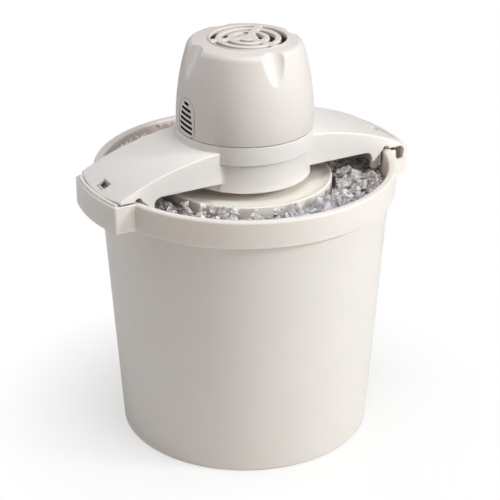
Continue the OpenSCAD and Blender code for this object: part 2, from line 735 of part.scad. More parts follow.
module arm() {
    rib_r = bore_r(leg_tip_z) - rib_gap;
    rib_z = leg_tip_z + rib_lift;
    inner_half_w = arm_half_w - bridge_wall;
    difference() {
        arm_solid(arm_half_w, 0, arm_end_r, arm_z);
        difference() {
            arm_solid(inner_half_w, bridge_wall, arm_end_r - bridge_wall, arm_z - e);
            translate([0, 0, arm_z - 2 * e]) cylinder(r = case_r - 1, h = arm_crown_h);
        }
        translate([window_x - window_l / 2, -window_w / 2, arm_z - e])
            cube([window_l, window_w, arm_crown_h]);
        translate([leg_out_x + side_notch_r + notch_gap, arm_half_w + e, arm_z]) rotate([90, 0, 0])
            cylinder(r = side_notch_r, h = 2 * arm_half_w + 2 * e);
    }
    leg();
    mirror([0, 1, 0]) leg();
    // Cross rib that joins the legs, and the seat rib that stands on the rim.
    difference() {
        intersection() {
            arm_solid(inner_half_w + e, bridge_wall - e, rib_r, rib_z);
            translate([rib_r - rib_l, -arm_half_w, rib_z])
                cube([rib_l, 2 * arm_half_w, arm_crown_h + leg_drop]);
        }
        translate([0, 0, rib_z - e]) cylinder(r = rib_r - rib_t, h = arm_crown_h + leg_drop);
    }
    difference() {
        arm_solid(inner_half_w + e, bridge_wall - e, rim_r - seat_in, bucket_h + seat_gap);
        translate([0, 0, bucket_h]) cylinder(r = rim_r - seat_in - rib_t, h = arm_crown_h);
    }
    // End wall drops into the ear's pocket.
    translate([0, 0, bucket_h - end_drop]) intersection() {
        ring(arm_end_r, arm_end_r - bridge_wall, end_drop + arm_over_rim + e);
        translate([0, -arm_half_w + end_inset, 0])
            cube([arm_end_r + e, 2 * (arm_half_w - end_inset), end_drop + arm_over_rim + 2 * e]);
    }
}

module bridge_frame() {
    color(cream) difference() {
        union() {
            both_ends() arm();
            translate([0, 0, case_z]) cylinder(r = case_r, h = case_h + 1);
            translate([0, 0, ring_z]) cylinder(r = ring_r, h = ring_h);
        }
        difference() {
            translate([0, 0, case_z - e]) cylinder(r = case_bore_r, h = case_h + 2 * e);
            around(boss_dirs, boss_at, case_floor_z) {
                cylinder(r = boss_r, h = plate_z - case_floor_z);
                translate([0, -boss_r, 0]) cube([boss_r + 4, 2 * boss_r, plate_z - case_floor_z]);
            }
        }
        translate([0, 0, plate_z]) cylinder(r = ring_bore_r, h = ring_h + e);
        around(boss_dirs, boss_at, case_floor_z - e) cylinder(r = screw_r + run_fit, h = case_h);
        // Cord gland hole at the back of the ring band.
        translate([0, 0, gland_z]) rotate([-90, 0, 0]) cylinder(r = gland_r + run_fit, h = ring_r + e);
    }
}

// ---------- gear case ----------

hub_bore_r = post_r + run_fit;
cover_bearing_r = hub_r + run_fit;
washer_t = 1;
washer_z = case_floor_z + end_play;
hub_flange_z = washer_z + washer_t + end_play;

module gear_case_cover() {
    color(cream) translate([0, 0, case_z]) difference() {
        cylinder(r = case_bore_r - run_fit, h = case_cover_t);
        translate([0, 0, -e]) cylinder(r = cover_bearing_r, h = case_cover_t + 2 * e);
        around(boss_dirs, boss_at, -e) {
            cylinder(r = screw_r + run_fit, h = case_cover_t + 2 * e);
            cylinder(r = screw_head_r + 0.4, h = e + case_cover_t / 2);
        }
        at(second_at, case_cover_t / 2) cylinder(r = pin_r + run_fit, h = case_cover_t);
    }
}

module case_screws() {
    color(steel) around(boss_dirs, boss_at, case_z + case_cover_t / 2) screw(case_screw_l);
}

module hub_washer() {
    color("#d8d2c4") translate([0, 0, washer_z]) ring(hub_r + 5, hub_r + run_fit, washer_t);
}

module output_gear() {
    dog_low_z = lid_deck_z + end_play;
    dog_high_z = lug_top_z + end_play;
    color("#efe9da") {
        difference() {
            union() {
                translate([0, 0, output_z])
                    gear(module_3, output_teeth, stub, tall, face_3, towards([0, 0], second_at));
                translate([0, 0, hub_flange_z]) cylinder(r = hub_r + 5, h = output_z - hub_flange_z + 0.1);
                translate([0, 0, dog_low_z]) cylinder(r = hub_r, h = hub_flange_z - dog_low_z + 0.1);
            }
            translate([0, 0, dog_low_z - e])
                cylinder(r = hub_bore_r, h = output_z + face_3 - dog_low_z + 2 * e);
            // Gaps between the dogs, which the lid's lugs fill.
            for (a = lug_dirs) rotate(a) translate([0, 0, dog_low_z - e])
                wedge(hub_r + e, lug_half + dog_play, dog_high_z - dog_low_z + e);
        }
    }
}

socket_flange_r = first_reach - module_2 * (pinion_2_teeth / 2 + tall) - wheel_gap;
socket_screw_at = (post_r + socket_flange_r) / 2;
socket_screw_dirs = [100, 220, 340];

module stem_socket() {
    low_z = lid_deck_z + lug_h + end_play;
    flange_z = plate_z - post_flange_t;
    play = run_fit * 2;
    color(steel) difference() {
        union() {
            translate([0, 0, low_z]) cylinder(r = post_r, h = plate_z - low_z);
            translate([0, 0, flange_z]) cylinder(r = socket_flange_r, h = post_flange_t);
        }
        translate([-stem_square / 2 - play, -stem_square / 2 - play, low_z - e])
            cube([stem_square + 2 * play, stem_square + 2 * play, stem_top_z + 0.8 - low_z + e]);
        around(socket_screw_dirs, socket_screw_at, flange_z - e)
            cylinder(r = socket_screw_r + run_fit, h = post_flange_t + 2 * e);
    }
}

socket_screw_r = 1.1;

module socket_screws() {
    color(steel) around(socket_screw_dirs, socket_screw_at, plate_top_z) mirror([0, 0, 1])
        screw(post_flange_t + plate_t - 0.2, socket_screw_r, 2, 1.2);
}

hub_wall = 2; // round the second gear's pin

// Middle stage: a wheel and a pinion moulded as one, turning on a fixed pin.
module second_gear() {
    low = output_z - wheel_gap;
    hub = pin_r + run_fit;
    color("#e6d9b8") at(second_at) difference() {
        union() {
            translate([0, 0, wheel_2_z])
                gear(module_2, wheel_2_teeth, stub, tall, face_2, towards(second_at, first_at));
            translate([0, 0, low]) gear(module_3, pinion_3_teeth, tall, stub, wheel_2_z - low + 0.1,
                pinion_turn([0, 0], second_at, pinion_3_teeth));
            translate([0, 0, case_floor_z + end_play]) cylinder(r = hub + hub_wall, h = low - case_floor_z);
        }
        translate([0, 0, case_floor_z]) cylinder(r = hub, h = plate_z - case_floor_z);
    }
}

module second_gear_pin() {
    low = case_z + case_cover_t / 2 + 0.1;
    color(steel) at(second_at, low) cylinder(r = pin_r, h = plate_top_z - low - 0.2);
}

// First stage: the wheel lies above the plate, its pinion below it, both pressed on one shaft.
module first_pinion() {
    low = wheel_2_z - shoulder_gap;
    color(steel) at(first_at) difference() {
        translate([0, 0, low]) gear(module_2, pinion_2_teeth, tall, stub, plate_z - shoulder_gap - low,
            pinion_turn(second_at, first_at, pinion_2_teeth));
        translate([0, 0, low - e]) cylinder(r = pin_r, h = case_h);
    }
}

first_shaft_low = wheel_2_z - shoulder_gap;
shaft_end = 0.6;  // the shaft stands out of the first wheel by this much

module first_gear_shaft() {
    color(steel) at(first_at, first_shaft_low)
        cylinder(r = pin_r, h = first_z + face_1 + shaft_end - first_shaft_low);
}

bush_wall = 1.5;

module plate_bush() {
    color("#b08d57") at(first_at, plate_z) difference() {
        union() {
            cylinder(r = pin_r + bush_wall, h = plate_t);
            translate([0, 0, plate_t]) cylinder(r = pin_r + bush_wall + 1, h = bush_flange_t);
        }
        translate([0, 0, -e]) cylinder(r = pin_r + run_fit, h = plate_t + bush_flange_t + 2 * e);
    }
}

module first_gear() {
    color("#e6d9b8") at(first_at) difference() {
        union() {
            translate([0, 0, first_z])
                gear(module_1, wheel_1_teeth, stub, tall, face_1, towards(first_at, motor_at));
            translate([0, 0, plate_top_z + bush_flange_t + end_play])
                cylinder(r = pin_r + bush_wall + 1, h = bush_flange_t);
        }
        translate([0, 0, plate_top_z]) cylinder(r = pin_r, h = motor_stand);
    }
}

vent_hole_r = 5;
vent_hole_dirs = [195, 225, 285];
vent_hole_in = 21; // how far the plate's air passages lie inside the gear case

module gear_plate() {
    color(steel) translate([0, 0, plate_z]) difference() {
        cylinder(r = ring_bore_r - 0.2, h = plate_t);
        around(boss_dirs, boss_at, -e) cylinder(r = screw_r + run_fit, h = plate_t + 2 * e);
        around(cover_boss_dirs, cover_boss_at, -e) cylinder(r = screw_r + run_fit, h = plate_t + 2 * e);
        around(socket_screw_dirs, socket_screw_at, -e) cylinder(r = socket_screw_r + run_fit,
            h = plate_t + 2 * e);
        at(first_at, -e) cylinder(r = pin_r + bush_wall, h = plate_t + 2 * e);
        at(second_at, -e) cylinder(r = pin_r, h = plate_t + 2 * e);
        for (s = [-1, 1]) at(motor_at, -e) translate([0, s * motor_screw_y, 0])
            cylinder(r = motor_screw_r + run_fit, h = plate_t + 2 * e);
        // Air passages, and the slot that the lead wires pass through.
        around(vent_hole_dirs, case_r - vent_hole_in, -e) cylinder(r = vent_hole_r, h = plate_t + 2 * e);
    }
}

module plate_screws() {
    color(steel) around(boss_dirs, boss_at, plate_top_z) mirror([0, 0, 1]) screw(plate_t + plate_screw_l);
}

// ---------- motor ----------

module motor_spacers() {
    color(aluminium) for (s = [-1, 1]) at(motor_at, plate_top_z) translate([0, s * motor_screw_y, 0])
        ring(spacer_r, motor_screw_r + run_fit, motor_stand);
}

bracket_half_w = 8;
bracket_foot_w = 7;

// U-shaped bracket across the motor, its bush cup in the middle and its feet on the stack.
module bracket() {
    difference() {
        union() {
            translate([-bracket_half_w, -stack_half_w, 0])
                cube([2 * bracket_half_w, 2 * stack_half_w, bracket_t]);
            for (s = [-1, 1])
                translate([-bracket_half_w, s * (stack_half_w - bracket_foot_w / 2) - bracket_foot_w / 2, 0])
                cube([2 * bracket_half_w, bracket_foot_w, bracket_t + bracket_leg]);
            cylinder(r = shaft_r + motor_bush_wall + 2, h = bush_h);
        }
        translate([0, 0, -e]) cylinder(r = shaft_r + motor_bush_wall, h = bush_h + 2 * e);
        for (s = [-1, 1]) translate([0, s * motor_screw_y, -e])
            cylinder(r = motor_screw_r + run_fit, h = bracket_t + bracket_leg + 2 * e);
    }
}

module lower_bracket() { color(aluminium) at(motor_at, lower_bracket_z) bracket(); }

module upper_bracket() {
    color(aluminium) at(motor_at, upper_bracket_z + bracket_t) mirror([0, 0, 1]) bracket();
}

module bush() {
    color("#b08d57") at(motor_at) ring(shaft_r + motor_bush_wall, shaft_r + run_fit, bush_h);
}

module lower_bush() { translate([0, 0, lower_bracket_z]) bush(); }

module upper_bush() { translate([0, 0, upper_bracket_z + bracket_t - bush_h]) bush(); }

shading_dirs = [35, 215];
shading_w = 1.8;  // width of a shading ring
shading_d = 2.8;  // depth of a shading ring
shading_gap = 0.2;

// Laminated frame: round bore at one end, winding limb at the other.
module stator() {
    color("#6f7478") translate([0, 0, stack_z]) difference() {
        translate([limb_x, motor_at[1] - stack_half_w, 0])
            cube([motor_at[0] + stack_half_w - limb_x, 2 * stack_half_w, stack_h]);
        at(motor_at, -e) cylinder(r = rotor_bore_r, h = stack_h + 2 * e);
        translate([window_x0, motor_at[1] - bobbin_half_l - 1, -e])
            cube([window_x1 - window_x0, 2 * bobbin_half_l + 2, stack_h + 2 * e]);
        for (s = [-1, 1]) at(motor_at, -e) translate([0, s * motor_screw_y, 0])
            cylinder(r = motor_screw_r + run_fit, h = stack_h + 2 * e);
        // Slots for the shading rings.
        for (a = shading_dirs) at(motor_at, -e) rotate(a)
            translate([rotor_bore_r - 1, -shading_w / 2 - shading_gap, 0])
            cube([shading_d + 1.6, shading_w + 2 * shading_gap, stack_h + 2 * e]);
    }
}

module shading_rings() {
    color(copper) for (a = shading_dirs) at(motor_at, stack_z - 1) rotate(a)
        translate([rotor_bore_r + shading_gap, -shading_w / 2, 0]) cube([shading_d, shading_w, stack_h + 2]);
}

bobbin_flange_t = 1.2;
bobbin_in = 2 * (bobbin_wall + bobbin_gap); // what the bobbin adds to the limb's width and height

// Spool of the winding: a tube round the limb with a flange at each end.
module bobbin() {
    tube = [limb_w + bobbin_in, 2 * bobbin_half_l, stack_h + bobbin_in];
    flange = [tube[0] + 2 * winding_t, bobbin_flange_t, tube[2] + 2 * winding_t];
    centre = [limb_x + limb_w / 2, motor_at[1], stack_z + stack_h / 2];
    color("#2f3032") translate(centre) difference() {
        union() {
            cube(tube, center = true);
            for (s = [-1, 1]) translate([0, s * (bobbin_half_l - bobbin_flange_t / 2), 0])
                cube(flange, center = true);
        }
        cube([limb_w + 2 * bobbin_gap, 2 * bobbin_half_l + 2, stack_h + 2 * bobbin_gap], center = true);
    }
}

module winding() {
    tube = [limb_w + bobbin_in, 2 * (bobbin_half_l - bobbin_flange_t), stack_h + bobbin_in];
    coil_t = winding_t - 0.6;
    centre = [limb_x + limb_w / 2, motor_at[1], stack_z + stack_h / 2];
    color(copper) translate(centre) difference() {
        cube([tube[0] + 2 * coil_t, tube[1], tube[2] + 2 * coil_t], center = true);
        cube([tube[0], tube[1] + 2, tube[2]], center = true);
    }
}

module motor_screws() {
    top_z = upper_bracket_z + bracket_t;
    color(steel) for (s = [-1, 1]) at(motor_at, top_z) translate([0, s * motor_screw_y, 0])
        mirror([0, 0, 1]) screw(top_z - plate_z - end_play, motor_screw_r, motor_head_r, motor_head_h);
}

end_ring_h = 2.5;

module rotor() {
    color("#85888b") at(motor_at) difference() {
        union() {
            translate([0, 0, stack_z]) cylinder(r = rotor_r, h = stack_h);
            for (z = [stack_z - end_ring_h, stack_top_z]) translate([0, 0, z])
                ring(rotor_r - 1, rotor_r - 7, end_ring_h);
        }
        translate([0, 0, stack_z - e]) cylinder(r = shaft_r, h = stack_h + 2 * e);
    }
}

shaft_low_z = plate_top_z + 1;
shaft_top_z = fan_z + fan_h + 3;

module rotor_shaft() {
    color(steel) at(motor_at, shaft_low_z) cylinder(r = shaft_r, h = shaft_top_z - shaft_low_z);
}

motor_pinion_h = face_1 + 1;

module motor_pinion() {
    color("#c9a45a") at(motor_at) difference() {
        translate([0, 0, first_z - shoulder_gap]) gear(module_1, motor_teeth, tall, stub, motor_pinion_h,
            pinion_turn(first_at, motor_at, motor_teeth));
        translate([0, 0, shaft_low_z - e]) cylinder(r = shaft_r, h = motor_stand);
    }
}

module thrust_washers() {
    color("#d9cfae") at(motor_at) {
        translate([0, 0, lower_bracket_z + bush_h + end_play])
            ring(shaft_r + motor_bush_wall, shaft_r, thrust_t);
        translate([0, 0, upper_bracket_z + bracket_t - bush_h - end_play - thrust_t])
            ring(shaft_r + motor_bush_wall, shaft_r, thrust_t);
    }
}

module fan() {
    hub_r1 = shaft_r + 4;
    pitch_angle = 32;
    color("#2b2c2e") at(motor_at, fan_z) difference() {
        union() {
            cylinder(r = hub_r1, h = fan_h);
            intersection() {
                for (i = [0 : fan_blades - 1]) rotate(i * 360 / fan_blades)
                    translate([hub_r1 - 1, 0, fan_h / 2]) rotate([90 - pitch_angle, 0, 0])
                        translate([0, -fan_h, -0.7]) cube([fan_r, 2 * fan_h, 1.4]);
                ring(fan_r, 0.1, fan_h);
            }
        }
        translate([0, 0, -e]) cylinder(r = shaft_r, h = fan_h + 2 * e);
    }
}

module fan_clip() {
    color(steel) at(motor_at, fan_z + fan_h + 0.1) ring(shaft_r + motor_bush_wall, shaft_r, thrust_t);
}

// ---------- motor cover ----------

grille_rim = 1.2; // plain rim of the grille disc outside its last slots
grille_r = grille_hub_r + 2 * grille_pitch + grille_slot + grille_rim;
grille_at = motor_at * 0.76;

// Profile of the cover, moved inwards by d and cut off at low.
module cover_profile(d, low) {
    side_steps = 14;
    round_steps = 7;
    edge_z = cover_top_z - deck_fall;
    turn_z = edge_z - shoulder_r;
    lean = asin((turn_z - cover_z - cover_bow_z) / cover_bow_r);
    round_r = shoulder_r - d;
    centre_r = cover_r(turn_z) - shoulder_r * cos(lean);
    centre_z = turn_z - shoulder_r * sin(lean);
    lift = edge_z - centre_z - shoulder_r;
    polygon(concat([[0, low], [cover_r(max(low, cover_z)) - d, low]],
        [for (k = [1 : side_steps]) let (z = cover_z + (turn_z - cover_z) * k / side_steps)
            [cover_r(z) - d, z]],
        [for (k = [1 : round_steps]) let (a = lean + (90 - lean) * k / round_steps)
            [centre_r + round_r * cos(a), centre_z + (round_r + lift * k / round_steps) * sin(a)]],
        [[grille_r, cover_top_z - d], [0, cover_top_z - d]]));
}

// Leaning cylinder that scoops a flute out of the cover's shoulder.
module flute_tool(grow) {
    top_z = cover_top_z - deck_fall - shoulder_r / 2;
    tip_z = top_z - flute_l;
    lean = atan((cover_r(tip_z) - cover_r(top_z) + flute_depth) / flute_l);
    axis_r = cover_r(tip_z) + flute_r / cos(lean);
    for (a = [0 : 90 : 270]) rotate(a) translate([axis_r, 0, tip_z]) rotate([0, -lean, 0])
        translate([0, 0, -flute_l]) cylinder(r = flute_r + grow, h = 3 * flute_l);
}

vent_border = 2.6;     // plain border of a vent panel beside its slots
vent_head = 3;         // and above them
vent_proud = 0.3;      // of the panel, outside the cover's foot
vent_foot_z = cover_z + 2;
function vent_arch_z(half_w) = vent_top_z + vent_h + vent_head - half_w;

module vent_panel_2d(half_w) {
    translate([vent_foot_z, -half_w]) square([vent_arch_z(half_w) - vent_foot_z, 2 * half_w]);
    translate([vent_arch_z(half_w), 0]) circle(r = half_w);
}

module vent_panel(r0, r1, half_w) {
    translate([r0, 0, 0]) rotate([0, -90, 0]) mirror([0, 0, 1])
        linear_extrude(height = r1 - r0) vent_panel_2d(half_w);
}

// Chord of the arch at a slot's height decides how wide the slot is.
function vent_half(i) =
    let (rise = max(0, vent_z + i * vent_pitch + vent_h / 2 - vent_arch_z(vent_panel_half_w)))
    sqrt(pow(vent_panel_half_w, 2) - rise * rise) - vent_border;

gland_r = 4.2;
gland_z = plate_top_z + gland_r + 1.3;
spigot_h = 3.5;

grille_spoke_dirs = [46, 166, 286];
grille_cut_h = 2 * cover_wall + 3 * grille_proud; // deeper than the top is thick

module grille_cuts() {
    for (k = [0 : 2]) difference() {
        ring(grille_hub_r + k * grille_pitch + grille_slot, grille_hub_r + k * grille_pitch, grille_cut_h);
        for (a = grille_spoke_dirs) rotate(a) translate([0, -grille_spoke / 2, -e])
            cube([2 * grille_r, grille_spoke, grille_cut_h + 2 * e]);
    }
}

module motor_cover() {
    spigot_r = ring_bore_r - lift_fit;
    boss_low = plate_top_z + 0.2;
    boss_top = cover_z + cover_boss_h;
    color(cream) difference() {
        union() {
            difference() {
                union() {
                    difference() {
                        rotate_extrude() cover_profile(0, cover_z);
                        flute_tool(0);
                    }
                    both_ends() rotate(vent_turn)
                        vent_panel(cover_base_r - 2 * cover_wall, cover_base_r + vent_proud,
                            vent_panel_half_w);
                    at(grille_at, cover_top_z - 1) cylinder(r = grille_r, h = 1 + grille_proud);
                }
                difference() {
                    rotate_extrude() cover_profile(cover_wall, cover_z - e);
                    flute_tool(cover_wall);
                }
            }
            translate([0, 0, cover_z - spigot_h]) ring(spigot_r, spigot_r - 2, spigot_h + 2);
            translate([0, 0, cover_z]) ring(cover_base_r - cover_wall / 2, spigot_r - 2, 2);
            difference() {
                around(cover_boss_dirs, cover_boss_at, boss_low) {
                    cylinder(r = boss_r, h = boss_top - boss_low);
                    translate([0, -1, cover_z - boss_low])
                        cube([ring_bore_r - cover_boss_at - 0.2, 2, boss_top - cover_z]);
                }
                around(cover_boss_dirs, cover_boss_at, boss_low - e) cylinder(r = screw_r + run_fit,
                    h = cover_screw_l);
            }
        }
        at(grille_at, cover_top_z - 2 * cover_wall) grille_cuts();
        both_ends() rotate(vent_turn) for (i = [0 : vent_count - 1])
            translate([cover_base_r - 4 * cover_wall, -vent_half(i), vent_z + i * vent_pitch])
                cube([8 * cover_wall, 2 * vent_half(i), vent_h]);
    }
}

module cover_screws() {
    color(steel) around(cover_boss_dirs, cover_boss_at, plate_z) screw(cover_screw_l - 1);
}

gland_bore_r = 3.2;
gland_lip = 1.6;
gland_lip_h = 2;
gland_out = 3.2;   // reach outside the ring band
gland_barb = 0.8;  // of the snap behind the wall
gland_barb_h = 2.4;

// Bush that guards the hole where a power cord enters.
module cord_gland() {
    tube_h = bridge_wall + gland_out;
    color("#3a3b3d") translate([0, ring_bore_r - 3, gland_z]) rotate([-90, 0, 0]) difference() {
        union() {
            cylinder(r = gland_r, h = tube_h);
            translate([0, 0, tube_h]) cylinder(r = gland_r + gland_lip, h = gland_lip_h);
            cylinder(r = gland_r + gland_barb, h = gland_barb_h);
        }
        translate([0, 0, -e]) cylinder(r = gland_bore_r, h = tube_h + gland_lip_h + 2 * e);
    }
}

terminal_size = [16, 9, 9];
terminal_y = 36;
terminal_wire_r = 1.6;
terminal_screw_r = 1.4;

module terminal_block() {
    size = terminal_size;
    color("#d9d4c8") translate([-size[0] / 2, terminal_y, plate_top_z]) difference() {
        cube(size);
        for (x = [size[0] / 4, 3 * size[0] / 4]) {
            translate([x, -e, 0.6 * size[2]]) rotate([-90, 0, 0]) cylinder(r = terminal_wire_r,
                h = size[1] + 2 * e);
            translate([x, size[1] / 2, 0.6 * size[2]]) cylinder(r = terminal_screw_r, h = size[2]);
        }
    }
}

bucket();
crushed_ice();
canister();
canister_lid();
dasher();
bridge_frame();
gear_case_cover();
case_screws();
hub_washer();
output_gear();
stem_socket();
socket_screws();
second_gear();
second_gear_pin();
first_pinion();
first_gear_shaft();
first_gear();
plate_bush();
gear_plate();
plate_screws();
motor_spacers();
lower_bracket();
lower_bush();
stator();
shading_rings();
bobbin();
winding();
upper_bracket();
upper_bush();
motor_screws();
rotor();
rotor_shaft();
motor_pinion();
thrust_washers();
fan();
fan_clip();
terminal_block();
motor_cover();
cover_screws();
cord_gland();
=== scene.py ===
"""Looks of the bucket ice cream freezer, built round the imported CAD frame.

Geometry is worked out in millimetres in the row frame, with +X along the bridge arms, and turned into
metres when a mesh is made.
"""
import json
import math
import random

import bmesh
import bpy
from mathutils import Matrix, Vector, noise


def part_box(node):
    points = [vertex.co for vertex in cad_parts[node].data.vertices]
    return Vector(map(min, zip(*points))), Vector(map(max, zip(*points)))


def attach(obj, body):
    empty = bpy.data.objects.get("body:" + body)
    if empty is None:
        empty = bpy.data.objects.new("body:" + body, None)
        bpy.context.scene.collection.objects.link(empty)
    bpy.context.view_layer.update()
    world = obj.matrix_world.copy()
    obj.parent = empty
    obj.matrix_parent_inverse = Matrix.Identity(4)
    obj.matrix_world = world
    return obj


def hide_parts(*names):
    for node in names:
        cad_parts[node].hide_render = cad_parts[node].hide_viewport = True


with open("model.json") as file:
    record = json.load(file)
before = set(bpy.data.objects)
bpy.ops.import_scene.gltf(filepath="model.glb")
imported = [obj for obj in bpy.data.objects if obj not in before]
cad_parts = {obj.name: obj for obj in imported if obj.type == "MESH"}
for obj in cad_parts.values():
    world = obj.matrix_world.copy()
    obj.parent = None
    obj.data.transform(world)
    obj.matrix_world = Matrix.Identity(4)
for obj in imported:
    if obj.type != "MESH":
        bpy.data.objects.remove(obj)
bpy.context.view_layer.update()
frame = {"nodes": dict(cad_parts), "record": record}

MM = 0.001
TAU = 2 * math.pi
SIDES = 288          # facets round a turned shape
BITE = 1.0           # how far a cutting tool runs past the face it cuts


def low(node, axis):
    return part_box(node)[0][axis] / MM


def high(node, axis):
    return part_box(node)[1][axis] / MM


X, Y, Z = range(3)

# ---------- sizes read off the frame ----------

EAR_R = high("bucket", X)
RIM_R = high("bucket", Y)
TONGUE_TOP_Z = high("bucket", Z)
SEAM_Z = high("bridge_frame", Z)
LEG_TIP_Z = low("bridge_frame", Z)
ARM_END_R = high("bridge_frame", X)
CASE_Z = low("gear_case_cover", Z)
CASE_BORE_R = high("gear_case_cover", X)
COVER_TOP_Z = high("motor_cover", Z)
RING_R = high("bridge_frame", Y)
RING_Z = low("gear_plate", Z)
LID_R = high("canister_lid", X)
LID_FOOT_Z = low("canister_lid", Z)
MOTOR_X = (low("rotor_shaft", X) + high("rotor_shaft", X)) / 2
MOTOR_Y = (low("rotor_shaft", Y) + high("rotor_shaft", Y)) / 2
ICE_TOP_Z = high("crushed_ice", Z)

# ---------- sizes of the mouldings ----------

TONGUE_RISE = 1.2
ARM_OVER_RIM = 1.5
RIM_Z = TONGUE_TOP_Z - TONGUE_RISE - ARM_OVER_RIM
ARM_Z = RIM_Z + ARM_OVER_RIM

BASE_R = 115.0
FLARE = 16.7
WALL = 3.0
FLOOR_Z = 5.5
FOOT_HOLLOW = 1.5
FOOT_ROUND = 3.0
FOOT_RING = 9.0
BAND_H = 24.5
BAND_DRAFT = 0.6
BAND_Z = RIM_Z - BAND_H

EAR_HALF_W = 40.5
EAR_ROOT_HALF_W = 46.3
EAR_PLAIN_HALF_W = 41.5
EAR_WALL = 5.0
EAR_SIDE_WALL = 3.0
EAR_LIP_H = 2.0
EAR_LIP_T = 3.0
EAR_NOTCH_H = 10.5
DRAIN_R, DRAIN_Z, DRAIN_TURN = 5, 196, 60

CROWN_X = 30.0
CROWN_Z = RIM_Z + 30.5
ARM_END_Z = RIM_Z + 2.0
ARM_HALF_W = 40.0
SHELL = 3.0

COVER_Z = SEAM_Z + 0.3
GRILLE_PROUD = 1.1
COVER_DECK_Z = COVER_TOP_Z - GRILLE_PROUD


def wall_r(z):
    """Radius of the bucket's outer wall at height z."""
    return BASE_R + FLARE * z / RIM_Z


def bore_r(z):
    return wall_r(z) - WALL


# ---------- outlines ----------

def arc(x, y, r, start, end, steps):
    """Points of an arc round (x, y), angles in degrees."""
    turns = [math.radians(start + (end - start) * k / steps) for k in range(steps + 1)]
    return [(x + r * math.cos(a), y + r * math.sin(a)) for a in turns]


def rounded(corners, closed=True, steps=6):
    """Outline through corners (x, y) or (x, y, radius), with an arc at each corner that has a radius."""
    points = []
    last = len(corners) - 1
    for i, corner in enumerate(corners):
        p = Vector(corner[:2])
        r = corner[2] if len(corner) > 2 else 0
        if not r or (not closed and i in (0, last)):
            points.append(tuple(p))
            continue
        back = (Vector(corners[i - 1][:2]) - p).normalized()
        ahead = (Vector(corners[0 if i == last else i + 1][:2]) - p).normalized()
        half = back.angle(ahead) / 2
        centre = p + (back + ahead).normalized() * (r / math.sin(half))
        start = p + back * (r / math.tan(half)) - centre
        end = p + ahead * (r / math.tan(half)) - centre
        first = math.degrees(math.atan2(start.y, start.x))
        turn = (math.degrees(math.atan2(end.y, end.x)) - first + 180) % 360 - 180
        points += arc(centre.x, centre.y, r, first, first + turn, steps)
    return points


def outset(outline, d):
    """An anticlockwise outline moved outwards by d."""
    moved = []
    for i, point in enumerate(outline):
        before = Vector(point) - Vector(outline[i - 1])
        after = Vector(outline[(i + 1) % len(outline)]) - Vector(point)
        n0 = Vector((before.y, -before.x)).normalized()
        n1 = Vector((after.y, -after.x)).normalized()
        mid = (n0 + n1).normalized()
        moved.append(tuple(Vector(point) + mid * (d / max(mid.dot(n0), 0.4))))
    return moved


def edge_levels(z0, z1, r0, r1, steps=4):
    """(outset, z) pairs up a prism from z0 to z1 whose lower and upper edges are rounded."""
    turns = [math.pi / 2 * k / steps for k in range(steps + 1)]
    lower = [(-r0 + r0 * math.sin(a), z0 + r0 - r0 * math.cos(a)) for a in turns] if r0 else [(0, z0)]
    upper = [(-r1 + r1 * math.cos(a), z1 - r1 + r1 * math.sin(a)) for a in turns] if r1 else [(0, z1)]
    return lower + upper


def flare_levels(z0, z1, r):
    """(outset, z) pairs of a tool that rounds the edge of its hole with radius r at z1."""
    steps = 4
    turns = [math.pi / 2 * k / steps for k in range(steps + 1)]
    flare = [(r - r * math.cos(a), z1 - r + r * math.sin(a)) for a in turns]
    return [(0, z0)] + flare + [(r, z1 + 2 * BITE)]


# ---------- meshes ----------

def mesh_object(name, verts, faces):
    mesh = bpy.data.meshes.new(name)
    mesh.from_pydata([Vector(v) * MM for v in verts], [], faces)
    work = bmesh.new()
    work.from_mesh(mesh)
    bmesh.ops.recalc_face_normals(work, faces=work.faces)
    work.to_mesh(mesh)
    work.free()
    obj = bpy.data.objects.new(name, mesh)
    bpy.context.scene.collection.objects.link(obj)
    return obj


def skin(rings, wrap=False):
    """Faces between closed rings of vertex numbers. wrap joins the last ring to the first."""
    faces = []
    count = len(rings[0])
    for low_ring, high_ring in zip(rings, rings[1:] + (rings[:1] if wrap else [])):
        for i in range(count):
            j = (i + 1) % count
            face = [low_ring[i], low_ring[j], high_ring[j], high_ring[i]]
            face = [v for k, v in enumerate(face) if v != face[k - 1]]
            if len(face) > 2:
                faces.append(face)
    return faces


def lathe(name, outline, sides=SIDES, centre=(0, 0)):
    """Solid of revolution. Its outline starts and ends on the axis, or else closes on itself."""
    verts, rings = [], []
    for r, z in outline:
        start = len(verts)
        if r < 1e-6:
            verts.append((centre[0], centre[1], z))
            rings.append([start] * sides)
        else:
            verts += [(centre[0] + x, centre[1] + y, z) for x, y in arc(0, 0, r, 0, 360, sides)[:-1]]
            rings.append(list(range(start, start + sides)))
    return mesh_object(name, verts, skin(rings, wrap=outline[0][0] > 1e-6))


def loft(name, rings):
    """Closed solid through rings of points, capped at both ends."""
    count = len(rings[0])
    numbers = [list(range(i * count, (i + 1) * count)) for i in range(len(rings))]
    faces = skin(numbers) + [numbers[0][::-1], numbers[-1]]
    return mesh_object(name, [p for ring in rings for p in ring], faces)


def prism(name, outline, levels, place=None):
    """Solid with the outline's section, moved in and out by the levels. place maps it into the row frame."""
    rings = [[Vector((x, y, z)) for x, y in outset(outline, d)] for d, z in levels]
    if place:
        rings = [[place @ p for p in ring] for ring in rings]
    return loft(name, rings)


# Sets a prism's outline upright along X, so that the prism runs towards -Y.
UPRIGHT = Matrix(((1, 0, 0, 0), (0, 0, -1, 0), (0, 1, 0, 0), (0, 0, 0, 1)))
# Sets a prism's outline upright along Y, so that the prism runs towards +X.
UPRIGHT_ACROSS = Matrix(((0, 0, 1, 0), (1, 0, 0, 0), (0, 1, 0, 0), (0, 0, 0, 1)))


